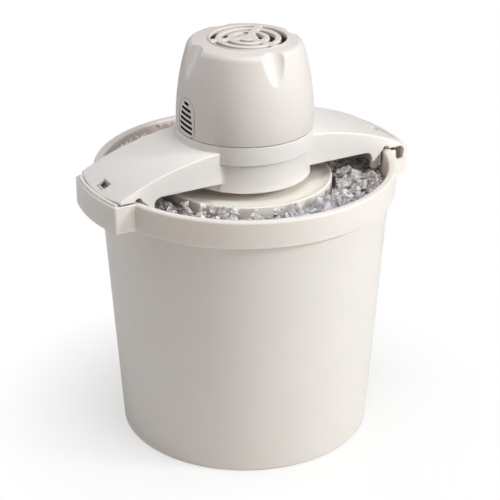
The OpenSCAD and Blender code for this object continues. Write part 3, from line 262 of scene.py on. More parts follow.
def baked(obj):
    """Applies the object's modifiers."""
    shape = obj.evaluated_get(bpy.context.evaluated_depsgraph_get())
    mesh = bpy.data.meshes.new_from_object(shape)
    obj.modifiers.clear()
    old = obj.data
    obj.data = mesh
    bpy.data.meshes.remove(old)
    return obj


def combine(obj, tools, operation):
    for tool in tools:
        cutter = obj.modifiers.new("combine", "BOOLEAN")
        cutter.object = tool
        cutter.operation = operation
        cutter.solver = "MANIFOLD"
    baked(obj)
    for tool in tools:
        bpy.data.objects.remove(tool)
    return obj


def cut(obj, *tools):
    return combine(obj, tools, "DIFFERENCE")


def fuse(obj, *parts):
    return combine(obj, parts, "UNION")


def turned(obj):
    """A copy of the object, turned half round about Z."""
    twin = obj.copy()
    twin.data = obj.data.copy()
    twin.data.transform(Matrix.Rotation(math.pi, 4, "Z"))
    bpy.context.scene.collection.objects.link(twin)
    return twin


def mirrored(obj):
    """A copy of the object, mirrored in Y."""
    twin = obj.copy()
    twin.data = obj.data.copy()
    twin.data.transform(Matrix.Scale(-1, 4, (0, 1, 0)))
    twin.data.flip_normals()
    bpy.context.scene.collection.objects.link(twin)
    return twin


def dressed(obj, name, material, body, replaces, sharp=32):
    """Names a finished piece, gives it shading, material and body, and hides the node that it stands for."""
    obj.name = name
    work = bmesh.new()
    work.from_mesh(obj.data)
    bmesh.ops.remove_doubles(work, verts=work.verts, dist=0.002 * MM)
    bmesh.ops.dissolve_degenerate(work, edges=work.edges, dist=0.002 * MM)
    work.to_mesh(obj.data)
    work.free()
    obj.data.shade_smooth()
    obj.data.set_sharp_from_angle(angle=math.radians(sharp))
    obj.data.materials.clear()
    obj.data.materials.append(material)
    even = obj.modifiers.new("even_normals", "WEIGHTED_NORMAL")
    even.keep_sharp = True
    even.weight = 80
    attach(obj, body)
    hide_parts(replaces)
    return obj


# ---------- materials ----------

class Nodes:
    """A material being built, with helpers that add and link its nodes."""

    def __init__(self, name):
        self.material = bpy.data.materials.new(name)
        self.material.use_nodes = True
        self.tree = self.material.node_tree
        self.shader = self.tree.nodes["Principled BSDF"]
        self.place = self.add("ShaderNodeTexCoord").outputs["Object"]

    def add(self, kind, **values):
        node = self.tree.nodes.new(kind)
        for key, value in values.items():
            if hasattr(node, key):
                setattr(node, key, value)
            else:
                node.inputs[key.replace("_", " ").title()].default_value = value
        return node

    def link(self, source, target):
        self.tree.links.new(source, target)

    def noise(self, scale, detail, stretch=None, roughness=0.5):
        """Value noise; scale is in cells per metre."""
        node = self.add("ShaderNodeTexNoise", scale=scale, detail=detail)
        node.inputs["Roughness"].default_value = roughness
        if stretch:
            mapping = self.add("ShaderNodeMapping")
            mapping.inputs["Scale"].default_value = stretch
            self.link(self.place, mapping.inputs["Vector"])
            self.link(mapping.outputs["Vector"], node.inputs["Vector"])
        else:
            self.link(self.place, node.inputs["Vector"])
        return node.outputs["Fac"]

    def ramp(self, source, stops):
        """Colour or grey ramp through (position, colour) stops."""
        node = self.add("ShaderNodeValToRGB")
        band = node.color_ramp
        for i, (position, colour) in enumerate(stops):
            stop = band.elements[i] if i < 2 else band.elements.new(position)
            stop.position = position
            stop.color = (*colour, 1) if isinstance(colour, tuple) else (colour, colour, colour, 1)
        self.link(source, node.inputs["Fac"])
        return node.outputs["Color"]

    def set(self, **values):
        for key, value in values.items():
            socket = self.shader.inputs[key.replace("_", " ")]
            if hasattr(value, "is_output"):
                self.link(value, socket)
            else:
                socket.default_value = value

    def painted_crevice_shade(self, colour, reach, stops):
        """Painted shade: multiplies a colour by a ramp over how open the surface is within the given reach in
        mm, so that creases and recesses darken where shade would fall.
        """
        open_sky = self.add("ShaderNodeAmbientOcclusion", samples=8, distance=reach * MM)
        mix = self.add("ShaderNodeMix", data_type="RGBA", blend_type="MULTIPLY")
        mix.inputs[0].default_value = 1.0
        self.link(colour, mix.inputs[6])
        self.link(self.ramp(open_sky.outputs["AO"], stops), mix.inputs[7])
        return mix.outputs[2]

    def surface(self, height, strength, distance, edge=0.0):
        """Bump from a height, on top of softly rounded edges of the given radius in mm."""
        bump = self.add("ShaderNodeBump", strength=strength, distance=distance)
        self.link(height, bump.inputs["Height"])
        if edge:
            bevel = self.add("ShaderNodeBevel", samples=6, radius=edge * MM)
            self.link(bevel.outputs["Normal"], bump.inputs["Normal"])
        self.link(bump.outputs["Normal"], self.shader.inputs["Normal"])


def shade(colour, factor):
    return tuple(c * factor for c in colour)


# Painted shade for creases and recesses, darker where less of the surface sees open sky: (share of open sky,
# multiplier).
TAN_PAINTED_SHADE = [(0.0, (0.45, 0.33, 0.24)), (0.16, (0.82, 0.68, 0.55)), (0.34, (0.98, 0.92, 0.85)),
              (0.5, (1.0, 1.0, 1.0))]
# near-black painted shade, for the inside of the motor housing
DARK_PAINTED_SHADE = [(0.0, (0.001, 0.001, 0.001)), (0.34, (0.012, 0.009, 0.007)), (0.5, (0.5, 0.42, 0.35)),
               (0.62, (1.0, 1.0, 1.0))]


def plastic(name, colour, roughness, edge=0.35, tint=0.02, glow=0.0, reach=0.0, painted_shade_stops=TAN_PAINTED_SHADE):
    """Moulded plastic: faint flow marks in the colour, a fine grain, and slightly uneven gloss; where reach
    is given, painted shade darkens its creases and recesses.
    """
    n = Nodes(name)
    flow_marks_and_painted_shade = n.ramp(n.noise(14, detail=4), [(0.3, shade(colour, 1 - tint)), (0.7, colour)])
    # painted shade: the colour darkens in creases and recesses, where shade falls
    if reach:
        flow_marks_and_painted_shade = n.painted_crevice_shade(flow_marks_and_painted_shade, reach, painted_shade_stops)
    n.set(Base_Color=flow_marks_and_painted_shade)
    gloss = n.noise(90, detail=5)
    n.set(Roughness=n.ramp(gloss, [(0.3, roughness - 0.05), (0.7, roughness + 0.05)]))
    n.set(IOR=1.49)
    if glow:
        n.set(Subsurface_Weight=glow, Subsurface_Radius=(1.0, 0.78, 0.55), Subsurface_Scale=0.006)
    n.surface(n.noise(1500, detail=2), 0.05, 0.1 * MM, edge)
    return n.material


def metal(name, colour, roughness, stretch=(1, 1, 1), grain=900.0):
    """Bare metal, with its grain drawn out along the directions that stretch makes small."""
    n = Nodes(name)
    lines = n.noise(grain, detail=4, stretch=stretch)
    n.set(Base_Color=n.ramp(lines, [(0.3, shade(colour, 0.86)), (0.7, colour)]), Metallic=1.0)
    n.set(Roughness=n.ramp(lines, [(0.3, roughness + 0.08), (0.7, roughness - 0.06)]))
    n.surface(lines, 0.12, 0.05 * MM, 0.15)
    return n.material


def stacked(name, colour, pitch):
    """Laminations: dark joints between thin sheets."""
    n = Nodes(name)
    wave = n.add("ShaderNodeTexWave", wave_type="BANDS", bands_direction="Z", scale=0.314 / (pitch * MM))
    n.link(n.place, wave.inputs["Vector"])
    lines = wave.outputs["Fac"]
    n.set(Base_Color=n.ramp(lines, [(0.1, shade(colour, 0.45)), (0.4, colour)]), Metallic=1.0, Roughness=0.45)
    n.surface(lines, 0.5, 0.1 * MM)
    return n.material


def wound(name, colour, pitch):
    """Enamelled wire laid turn beside turn along Y."""
    n = Nodes(name)
    wave = n.add("ShaderNodeTexWave", wave_type="BANDS", bands_direction="Y", scale=0.314 / (pitch * MM))
    wave.inputs["Distortion"].default_value = 0.4
    n.link(n.place, wave.inputs["Vector"])
    lines = wave.outputs["Fac"]
    n.set(Base_Color=n.ramp(lines, [(0.1, shade(colour, 0.3)), (0.5, colour)]), Metallic=0.9, Roughness=0.25)
    n.set(Coat_Weight=0.6, Coat_Roughness=0.1)
    n.surface(lines, 0.9, 0.25 * MM)
    return n.material


def ice_material(name):
    """Clear wet ice with clouded veins, and fine cracks that catch the light; its colour carries painted
    light, bluish at the front and warm towards the back.
    """
    n = Nodes(name)
    veins = n.noise(210, detail=6, roughness=0.7)
    # painted light: the colour runs from bluish at the front to warm at the back, where the cream walls' warm
    # light falls
    split = n.add("ShaderNodeSeparateXYZ")
    n.link(n.place, split.inputs[0])
    painted_light_depth = n.add("ShaderNodeMapRange")
    n.link(split.outputs["Y"], painted_light_depth.inputs["Value"])
    painted_light_depth.inputs["From Min"].default_value = -0.12
    painted_light_depth.inputs["From Max"].default_value = -0.05
    n.set(Base_Color=n.ramp(painted_light_depth.outputs["Result"], [(0.0, (0.96, 0.96, 1.0)), (1.0, (1.0, 0.962, 0.938))]))
    n.set(Transmission_Weight=n.ramp(veins, [(0.44, 0.97), (0.58, 0.25)]))
    n.set(Roughness=n.ramp(veins, [(0.45, 0.0), (0.7, 0.2)]), IOR=1.31)
    n.set(Specular_IOR_Level=1.0)
    n.surface(n.noise(300, detail=1), 0.15, 0.6 * MM)
    return n.material


CREAM = (0.822, 0.762, 0.706)
# the cream and lid mouldings carry tan painted shade in their creases, over the given reach
LOOKS = {
    "cream_plastic": plastic("cream_moulding", CREAM, 0.34, glow=0.35, reach=4.5),
    "lid_plastic": plastic("lid_moulding", (0.885, 0.83, 0.75), 0.38, glow=0.35, reach=5),
    "white_plastic": plastic("acetal", (0.82, 0.80, 0.75), 0.45, edge=0.2),
    "black_plastic": plastic("black_moulding", (0.035, 0.035, 0.038), 0.5, edge=0.2, tint=0.2),
    "ice": ice_material("clear_ice"),
    "can_aluminium": metal("spun_aluminium", (0.80, 0.81, 0.82), 0.32, stretch=(1, 1, 14), grain=120),
    "steel": metal("zinc_plated_steel", (0.62, 0.63, 0.64), 0.30),
    "lamination_steel": stacked("laminations", (0.40, 0.41, 0.42), 0.5),
    "bronze": metal("sintered_bronze", (0.62, 0.45, 0.24), 0.42),
    "copper": wound("enamelled_wire", (0.72, 0.33, 0.14), 0.6),
}
# The bridge and the cover are the same cream moulding as the bucket. The bridge's copy is made lighter,
# painted light on its walls and tops, and the cover's copy is made darker, painted shade.
BRIDGE_PAINTED_LIGHT_LOOK = plastic("bridge_moulding_painted_light", (0.935, 0.875, 0.818), 0.34, glow=0.35, reach=4.5)
COVER_PAINTED_SHADE_LOOK = plastic("cover_moulding_painted_shade", (0.77, 0.712, 0.664), 0.45, reach=8, painted_shade_stops=DARK_PAINTED_SHADE)
SLOT_OF = {part["node"]: part["material_slot"] for part in frame["record"]["subparts"]}


# ---------- bucket ----------

def bucket_shell():
    foot_in = BASE_R - FOOT_ROUND - FOOT_RING
    band_low_r = RIM_R - BAND_DRAFT
    outline = rounded([
        (0, FOOT_HOLLOW), (foot_in, FOOT_HOLLOW, 0.8), (foot_in + 1, 0, 0.8), (wall_r(0), 0, FOOT_ROUND),
        (wall_r(BAND_Z), BAND_Z, 0.8), (band_low_r, BAND_Z, 0.9), (RIM_R, RIM_Z, 2.2),
        (bore_r(RIM_Z), RIM_Z, 2.2), (bore_r(FLOOR_Z), FLOOR_Z, 3), (0, FLOOR_Z)], closed=False)
    return lathe("bucket_shell", outline)


def ear_outline(inset, inner_r, outer_r, corner):
    """Plan of the +X ear between two radii, with its sides moved in by inset."""
    steps = 16
    corner_x = math.sqrt(EAR_R ** 2 - EAR_HALF_W ** 2)

    def side_angle(r, root_half):
        """Angle at which the ear's side crosses radius r."""
        root_x = math.sqrt(RIM_R ** 2 - root_half ** 2)
        slope = (root_half - EAR_HALF_W) / (corner_x - root_x)
        x = r
        for _ in range(20):
            half = EAR_HALF_W + slope * (corner_x - x) - inset
            x = math.sqrt(r * r - half * half)
        return math.degrees(math.atan2(half, x))

    outer = [-side_angle(outer_r, EAR_ROOT_HALF_W), side_angle(outer_r, EAR_PLAIN_HALF_W)]
    inner = [side_angle(inner_r, EAR_PLAIN_HALF_W), -side_angle(inner_r, EAR_ROOT_HALF_W)]
    ends = [(*p, corner) for p in (arc(0, 0, outer_r, *outer, 1) + arc(0, 0, inner_r, *inner, 1))]
    face = arc(0, 0, outer_r, *outer, steps)[1:-1]
    back = arc(0, 0, inner_r, *inner, steps)[1:-1]
    return rounded([ends[0]] + face + [ends[1], ends[2][:2]] + back + [ends[3][:2]])


def ear_block():
    return prism("ear", ear_outline(0, RIM_R - 3, EAR_R, 2.6), edge_levels(BAND_Z, RIM_Z, 0.8, 1.0))


def ear_lip():
    pocket_r = EAR_R - EAR_WALL
    outline = ear_outline(EAR_SIDE_WALL, pocket_r, pocket_r + EAR_LIP_T, 0.8)
    return prism("ear_lip", outline, edge_levels(RIM_Z - BITE, RIM_Z + EAR_LIP_H, 0, 0.7))


def ear_pocket():
    outline = ear_outline(EAR_SIDE_WALL, RIM_R, EAR_R - EAR_WALL, 1.5)
    return prism("ear_pocket", outline, [(0, BAND_Z + EAR_SIDE_WALL), (0, RIM_Z + 3 * EAR_LIP_H)])


def ear_notch():
    """Tool for the open notch in the ear's wider side wall, with its lower corners cut off."""
    x0, x1 = RIM_R - 3.5, RIM_R + 7.5
    foot_z = RIM_Z - EAR_NOTCH_H
    outline = rounded([(x0 + 3, foot_z, 1), (x1 - 1, foot_z, 1), (x1, foot_z + 6, 1), (x1, RIM_Z + 2),
                       (x0, RIM_Z + 2), (x0, foot_z + 5, 1)])
    return prism("ear_notch", outline, [(0, ARM_HALF_W - 4), (0, EAR_ROOT_HALF_W + 3)], UPRIGHT)


def latch_tongue():
    r0, r1, half = RIM_R + 3.4, RIM_R + 5.8, 5.5
    outline = rounded([(r0, -half, 0.6), (r1, -half, 0.6), (r1, half, 0.6), (r0, half, 0.6)], steps=3)
    return prism("latch_tongue", outline, edge_levels(BAND_Z + 2, TONGUE_TOP_Z, 0, 0.7))


def drain_hole():
    outline = arc(0, 0, DRAIN_R, 0, 360, 48)[:-1]
    toward = Matrix.Rotation(math.radians(DRAIN_TURN), 4, "Z") @ Matrix.Translation((0, 0, DRAIN_Z))
    in_r, out_r = 120, 134
    return prism("drain", outline, [(0, in_r), (0, out_r)], toward @ Matrix.Rotation(math.pi / 2, 4, "Y"))


def make_bucket():
    shell = bucket_shell()
    ears = [ear_block()]
    ears.append(turned(ears[0]))
    fuse(shell, *ears)
    tools = [ear_pocket(), ear_notch()]
    cut(shell, *tools, *[turned(t) for t in tools], drain_hole())
    parts = [ear_lip(), latch_tongue()]
    pivot = lathe("pivot", rounded([(0, FLOOR_Z - BITE), (7, FLOOR_Z - BITE), (7, FLOOR_Z + 9, 1),
                                    (0, FLOOR_Z + 9)], closed=False), sides=64)
    fuse(shell, *parts, *[turned(p) for p in parts], pivot)
    return dressed(shell, "ice_bucket", LOOKS["cream_plastic"], "bucket", "bucket")


# ---------- bridge ----------

ARM_TIP_R = ARM_END_R + 1.2     # the moulding's end comes close to the ear's lip
ARM_START_X = 20                # the arms' ends inside the gear case
ARCH_FALL = CROWN_Z - ARM_END_Z
ARCH_R = ((ARM_END_R - CROWN_X) ** 2 + ARCH_FALL ** 2) / (2 * ARCH_FALL)


def arch_z(x):
    """Height of an arm's top at distance x from the axis."""
    return CROWN_Z - ARCH_R + math.sqrt(ARCH_R ** 2 - (max(x, CROWN_X) - CROWN_X) ** 2)


def arm_foot_z(x):
    """Height of an arm's lower edge: level over the bucket, and thin where it ends in the ear."""
    return min(ARM_Z, max(arch_z(x) - SHELL, RIM_Z + 0.35))


def arm_solid(name, half_w, end_r, start_x, levels):
    """Arch-topped solid. levels are (inset, drop below the top, or None for the lower edge)."""
    stations = 44
    rings = []
    for inset, drop in levels:
        w, r = half_w - inset, end_r - inset
        corner_x = math.sqrt(r * r - w * w)
        side = [(start_x + (corner_x - start_x) * k / stations, w) for k in range(stations)]
        corner = math.degrees(math.atan2(w, corner_x))
        end = arc(0, 0, r, corner, 0.6, 24)
        half = side + end
        outline = [(x, -y) for x, y in half] + half[::-1]
        rings.append([(x, y, (arm_foot_z(x) if drop is None else arch_z(x) - drop)) for x, y in outline])
    count = len(rings[0])
    numbers = [list(range(i * count, (i + 1) * count)) for i in range(len(rings))]
    faces = skin(numbers)
    for ring in (numbers[0], numbers[-1]):
        for i in range(count // 2 - 1):
            faces.append([ring[i], ring[i + 1], ring[count - 2 - i], ring[count - 1 - i]])
    return mesh_object(name, [p for ring in rings for p in ring], faces)


def side_plate(name, outline, y0, y1, edge=0.0):
    """Plate in a vertical plane along X, between y0 and y1; the outline is in x and z."""
    return prism(name, outline, edge_levels(-y1, -y0, edge, edge, 3), UPRIGHT)


LEG_OUT_X = math.sqrt((bore_r(LEG_TIP_Z) - 0.4) ** 2 - ARM_HALF_W ** 2)
LEG_IN_X = LEG_OUT_X - 10
LEG_BACK = 4.2           # how far the legs stand behind the arm's side


def leg_parts():
    """Gusset that ends on a slant, and the narrower leg behind it, at the -Y side of the +X arm."""
    top_z = ARM_Z + 2
    gusset = rounded([(LEG_IN_X - 8, top_z), (LEG_IN_X - 8, ARM_Z - 0.2, 0.1), (LEG_IN_X - 1, ARM_Z - 0.6, 6),
                      (LEG_IN_X - 0.4, ARM_Z - 11.5, 1.4), (LEG_OUT_X + 0.6, ARM_Z - 0.2, 0.1),
                      (LEG_OUT_X + 0.6, top_z)])
    x0, x1, tip_r = LEG_IN_X + 1.2, LEG_OUT_X - 0.6, 3.2
    leg = rounded([(x0, top_z), (x0, LEG_TIP_Z, tip_r), (x1, LEG_TIP_Z, tip_r), (x1, top_z)])
    face = -ARM_HALF_W
    return [side_plate("gusset", gusset, face, face + SHELL),
            side_plate("leg", leg, face + LEG_BACK, face + LEG_BACK + SHELL, 0.4)]


def cross_rib():
    """Curved wall that joins the legs just inside the rim, with upright ribs on its inner face."""
    r1 = bore_r(LEG_TIP_Z) - 1.2
    r0 = r1 - 2.1
    half = math.degrees(math.asin((ARM_HALF_W - 2) / r1))
    wall = arc(0, 0, r1, -half, half, 24) + arc(0, 0, r0, half, -half, 24)
    parts = [prism("cross_rib", wall, [(0, LEG_TIP_Z + 3), (0, ARM_Z + 3)])]
    count = 7
    for i in range(count):
        a = half * (2 * (i + 0.5) / count - 1)
        bar = rounded([(r0 - 1.6, -0.8, 0.6), (r0 + 1, -0.8), (r0 + 1, 0.8), (r0 - 1.6, 0.8, 0.6)], steps=3)
        parts.append(prism("rib_bar", bar, [(0, LEG_TIP_Z + 3.4), (0, ARM_Z + 3)],
                           Matrix.Rotation(math.radians(a), 4, "Z")))
    return parts


def end_wall():
    half = math.degrees(math.asin((ARM_HALF_W - 8) / ARM_END_R))
    r0, r1 = ARM_END_R - SHELL, ARM_END_R - 0.2
    outline = arc(0, 0, r1, -half, half, 24) + arc(0, 0, r0, half, -half, 24)
    return prism("end_wall", outline, edge_levels(RIM_Z - 4, RIM_Z + 1, 0.5, 0))


def seat_rib():
    """Wall that stands on the rim, under the arm."""
    half = math.degrees(math.asin((ARM_HALF_W - 2) / RIM_R))
    outline = arc(0, 0, RIM_R - 2, -half, half, 24) + arc(0, 0, RIM_R - 4.1, half, -half, 24)
    return prism("seat_rib", outline, [(0, RIM_Z + 0.3), (0, ARM_Z + 3.5)])


def arm():
    r = 0.9
    turns = [math.pi / 2 * k / 5 for k in range(6)]
    return arm_solid("arm", ARM_HALF_W, ARM_TIP_R, ARM_START_X,
                     [(0.4, None), (0, None)] + [(r - r * math.cos(a), r - r * math.sin(a)) for a in turns])


def arm_hollow():
    return arm_solid("arm_hollow", ARM_HALF_W - SHELL, ARM_END_R - SHELL - 4.5, ARM_START_X,
                     [(0, 60), (0, SHELL + 1.5), (0.5, SHELL + 0.5), (1.5, SHELL)])


def arm_window():
    x0, x1, half = 134.5, 143.5, 7
    outline = rounded([(x0, -half, 0.8), (x1, -half, 0.8), (x1, half, 0.8), (x0, half, 0.8)], steps=3)
    return prism("arm_window", outline, [(0, ARM_Z - 1.4), (0, CROWN_Z)])


def side_notch():
    """Tool for the finger notches in both sides of an arm, just outside its legs."""
    r = 3.4
    outline = arc(LEG_OUT_X + 4.2, ARM_Z - 0.4, r, 0, 360, 40)[:-1]
    return prism("side_notch", outline, [(0, -ARM_HALF_W - 2), (0, ARM_HALF_W + 2)], UPRIGHT)


def case_fillet():
    """Soft corner between an arm's -Y side and the gear case."""
    r, case_r = 5.0, CASE_BORE_R + SHELL
    centre_y = -ARM_HALF_W - r
    centre_x = math.sqrt((case_r + r) ** 2 - centre_y ** 2)
    touch = math.degrees(math.atan2(-centre_y, -centre_x))
    outline = ([(centre_x, -ARM_HALF_W + 1.5), (centre_x - 14, -ARM_HALF_W + 1.5)]
               + arc(centre_x, centre_y, r, touch, 90, 10))
    return prism("case_fillet", outline, [(0, ARM_Z), (0, RING_Z + 1)])


def make_bridge():
    case_r = CASE_BORE_R + SHELL
    case = lathe("gear_case", rounded([
        (0, CASE_Z), (case_r, CASE_Z, 1.2), (case_r, RING_Z, 0.5), (RING_R, RING_Z, 1.2),
        (RING_R, SEAM_Z, 0.6), (0, SEAM_Z)], closed=False))
    arms = [arm()]
    arms.append(turned(arms[0]))
    fillets = [case_fillet()]
    fillets.append(mirrored(fillets[0]))
    fillets += [turned(f) for f in fillets]
    fuse(case, *arms, *fillets)
    hollows = [arm_hollow()]
    below_z, above_z = 200, 300
    core = lathe("case_core", [(0, below_z), (case_r - 1, below_z), (case_r - 1, above_z), (0, above_z)])
    cut(hollows[0], core)
    tools = [hollows[0], arm_window(), side_notch()]
    bore = lathe("case_bore", [(0, CASE_Z - BITE), (CASE_BORE_R, CASE_Z - BITE), (CASE_BORE_R, RING_Z),
                               (RING_R - SHELL, RING_Z), (RING_R - SHELL, SEAM_Z + BITE), (0, SEAM_Z + BITE)])
    cut(case, *tools, *[turned(t) for t in tools], bore)
    legs = leg_parts()
    legs += [mirrored(part) for part in legs]
    parts = legs + cross_rib() + [end_wall(), seat_rib()]
    fuse(case, *parts, *[turned(p) for p in parts])
    return dressed(case, "bridge", BRIDGE_PAINTED_LIGHT_LOOK, "power_head", "bridge_frame")


# ---------- motor cover ----------

BOW_R = 233.0
BOW_Z = COVER_Z + 5.3
SHOULDER_R = 5.0
DECK_EDGE_Z = COVER_DECK_Z - 1.2
FLUTE_R = 16.0
FLUTE_DEPTH = 6.2
FLUTE_L = 24.0
COVER_WALL = 2.5
COVER_FOOT_IN = 0.8

GRILLE_X, GRILLE_Y = 0.76 * MOTOR_X, 0.76 * MOTOR_Y
GRILLE_HUB_R = 8.3
GRILLE_PITCH = 10.1
GRILLE_SLOT = 5.4
GRILLE_SPOKE = 7.0
GRILLE_TURNS = (46, 166, 286)
GRILLE_R = GRILLE_HUB_R + 2 * GRILLE_PITCH + GRILLE_SLOT + 1.2


def cover_r(z):
    return RING_R - BOW_R + math.sqrt(BOW_R ** 2 - (z - BOW_Z) ** 2)


def cover_outline(d):
    """Half section of the cover, moved inwards by d, from its foot up to the middle of its top."""
    turn_z = DECK_EDGE_Z - SHOULDER_R
    lean = math.asin((turn_z - BOW_Z) / BOW_R)
    centre_r = cover_r(turn_z) - SHOULDER_R * math.cos(lean)
    centre_z = turn_z - SHOULDER_R * math.sin(lean)
    lift = DECK_EDGE_Z - centre_z - SHOULDER_R
    r = SHOULDER_R - d
    wall_steps, turn_steps, deck_steps, disc_steps = 100, 24, 30, 6
    levels = [COVER_Z + (turn_z - COVER_Z) * k / wall_steps for k in range(wall_steps + 1)]
    points = [(cover_r(z) - d, z) for z in levels]
    if not d:
        points[0] = (points[0][0] - COVER_FOOT_IN, COVER_Z)
    for k in range(1, turn_steps + 1):
        a = lean + (math.pi / 2 - lean) * k / turn_steps
        points.append((centre_r + r * math.cos(a), centre_z + (r + lift * k / turn_steps) * math.sin(a)))
    for k in range(1, deck_steps + 1):
        points.append((centre_r + (GRILLE_R - centre_r) * k / deck_steps,
                       DECK_EDGE_Z + (COVER_DECK_Z - DECK_EDGE_Z) * k / deck_steps - d))
    return points + [(GRILLE_R * (1 - k / disc_steps), COVER_DECK_Z - d) for k in range(1, disc_steps)]


FLUTE_TOP_Z = DECK_EDGE_Z - SHOULDER_R / 2
FLUTE_TIP_Z = FLUTE_TOP_Z - FLUTE_L
FLUTE_LEAN = math.atan((cover_r(FLUTE_TIP_Z) - cover_r(FLUTE_TOP_Z) + FLUTE_DEPTH) / FLUTE_L)
FLUTE_TIP_X = cover_r(FLUTE_TIP_Z) + FLUTE_R / math.cos(FLUTE_LEAN)


def flute_limit(turn, z, grow):
    """Radius at which a ray meets the scooping cylinder's near side, or None where it misses."""
    axis_x = FLUTE_TIP_X - (z - FLUTE_TIP_Z) * math.tan(FLUTE_LEAN)
    squash = math.cos(FLUTE_LEAN) ** 2
    c, s = math.cos(turn), math.sin(turn)
    a = squash * c * c + s * s
    b = -2 * squash * axis_x * c
    k = squash * axis_x ** 2 - (FLUTE_R + grow) ** 2
    root = b * b - 4 * a * k
    return None if root < 0 else (-b - math.sqrt(root)) / (2 * a)


def soft_min(a, b, soft):
    """The smaller of a and b, blended over a length soft."""
    h = max(soft - abs(a - b), 0) / soft
    return min(a, b) - h * h * soft / 4


def fluted(r, z, theta, grow):
    """Radius of the cover after its four finger flutes are scooped out."""
    turn = (theta + math.pi / 4) % (math.pi / 2) - math.pi / 4
    limit = flute_limit(turn, z, grow)
    return r if limit is None or r < 1 else soft_min(r, limit, 0.6)


def cover_shell():
    sides = 640
    verts, rings = [], []
    for d, outline in ((0, cover_outline(0)), (COVER_WALL, cover_outline(COVER_WALL)[::-1])):
        if d:
            rings.append([len(verts)] * sides)
            verts.append((0, 0, COVER_DECK_Z - d))
        for r, z in outline:
            rings.append(list(range(len(verts), len(verts) + sides)))
            for i in range(sides):
                theta = TAU * i / sides
                rr = fluted(r, z, theta, d)
                verts.append((rr * math.cos(theta), rr * math.sin(theta), z))
        if not d:
            rings.append([len(verts)] * sides)
            verts.append((0, 0, COVER_DECK_Z))
            half = len(rings)
    faces = skin(rings[:half]) + skin(rings[half:]) + skin([rings[-1], rings[0]])
    return mesh_object("motor_cover_shell", verts, faces)


VENT_TURN = math.radians(183.6)
VENT_HALVES = (9.1, 9.4, 8.8, 7.8, 6.9, 3.6)     # half width of each slot in degrees, from the lowest up
VENT_Z = COVER_Z + 5.5
VENT_PITCH = 4.85
VENT_H = 2.5
VENT_SLOPE = -0.095      # how far the slots run downhill along the wall
VENT_FRAME_HALF = math.radians(11.8)
VENT_FRAME_TOP_Z = COVER_Z + 34.4
VENT_GROOVE_R = 0.4


def on_cover(turn, z, out):
    """Point at a distance outside the cover's wall."""
    r = cover_r(z) + out
    return Vector((r * math.cos(turn), r * math.sin(turn), z))


def vent_slots():
    """Tools for the slots, which wrap round the wall."""
    tools = []
    for i, degrees in enumerate(VENT_HALVES):
        z = VENT_Z + i * VENT_PITCH
        half = RING_R * math.radians(degrees)
        r = VENT_H / 2
        end_r = r - 0.02
        outline = rounded([(-half, -r, end_r), (half, -r, end_r), (half, r, end_r), (-half, r, end_r)])
        rings = [[on_cover(VENT_TURN + x / RING_R, z + VENT_SLOPE * x + y, out) for x, y in outline]
                 for out in (-COVER_WALL - 3, 2)]
        tools.append(loft("vent_slot", rings))
    return tools


def vent_groove():
    """Tool for the fine groove round the vent."""
    half = RING_R * VENT_FRAME_HALF
    spring_z = VENT_FRAME_TOP_Z - half
    path = rounded([(-half, COVER_Z + 2.5, 2), (half, COVER_Z + 0.8, 2)] + arc(0, spring_z, half, 0, 180, 30))
    sides = 8
    rings = []
    for i, point in enumerate(path):
        ahead = Vector(path[(i + 1) % len(path)]) - Vector(path[i - 1])
        side = Vector((ahead.y, -ahead.x)).normalized()
        ring = []
        for k in range(sides):
            a = TAU * k / sides
            x, z = Vector(point) + side * (VENT_GROOVE_R * math.cos(a))
            ring.append(on_cover(VENT_TURN + x / RING_R, z, VENT_GROOVE_R * math.sin(a)))
        rings.append(ring)
    numbers = [list(range(i * sides, (i + 1) * sides)) for i in range(len(rings))]
    return mesh_object("vent_groove", [p for ring in rings for p in ring], skin(numbers, wrap=True))


def grille_disc():
    foot_z = COVER_DECK_Z - 1.5
    outline = rounded([(0, foot_z), (GRILLE_R, foot_z), (GRILLE_R, COVER_TOP_Z, 0.9), (0, COVER_TOP_Z)],
                      closed=False)
    return lathe("grille_disc", outline, sides=192, centre=(GRILLE_X, GRILLE_Y))


def grille_slots():
    """Tools for the three broken rings of slots, flared so that the bars between them are rounded."""
    tools = []
    place = Matrix.Translation((GRILLE_X, GRILLE_Y, 0))
    for ring in range(3):
        r0 = GRILLE_HUB_R + ring * GRILLE_PITCH + 0.3
        r1 = r0 + GRILLE_SLOT - 0.6
        for start, end in zip(GRILLE_TURNS, GRILLE_TURNS[1:] + (GRILLE_TURNS[0] + 360,)):
            outer_gap, inner_gap = [math.degrees(math.asin(GRILLE_SPOKE / 2 / r)) for r in (r1, r0)]
            outer = [outer_gap + start, -outer_gap + end]
            inner = [-inner_gap + end, inner_gap + start]
            steps = 14 + 8 * ring
            ends = [(*p, 1.1) for p in arc(0, 0, r1, *outer, 1) + arc(0, 0, r0, *inner, 1)]
            outline = rounded([ends[0]] + arc(0, 0, r1, *outer, steps)[1:-1] + ends[1:3]
                              + arc(0, 0, r0, *inner, steps)[1:-1] + [ends[3]], steps=4)
            levels = flare_levels(COVER_TOP_Z - 8, COVER_TOP_Z, 1.3)
            tools.append(prism("grille_slot", outline, levels, place))
    return tools


def paint_slot_shade(shell):
    """Painted shade: gives the walls of the vents' slots the black plastic, standing for the shade deep
    inside the slots of the cream housing.
    """
    shell.data.materials.append(LOOKS["black_plastic"])
    for face in shell.data.polygons:
        x, y, z = face.center / MM
        wall_face = VENT_Z - VENT_H < z < VENT_FRAME_TOP_Z and abs(face.normal.x) < 0.75
        at_vent = abs(math.sin(math.atan2(y, x) - VENT_TURN)) < math.sin(VENT_FRAME_HALF)
        within = cover_r(z) - COVER_WALL - 0.2 < math.hypot(x, y) < cover_r(z) - 0.7
        if wall_face and at_vent and within:
            face.material_index = 1


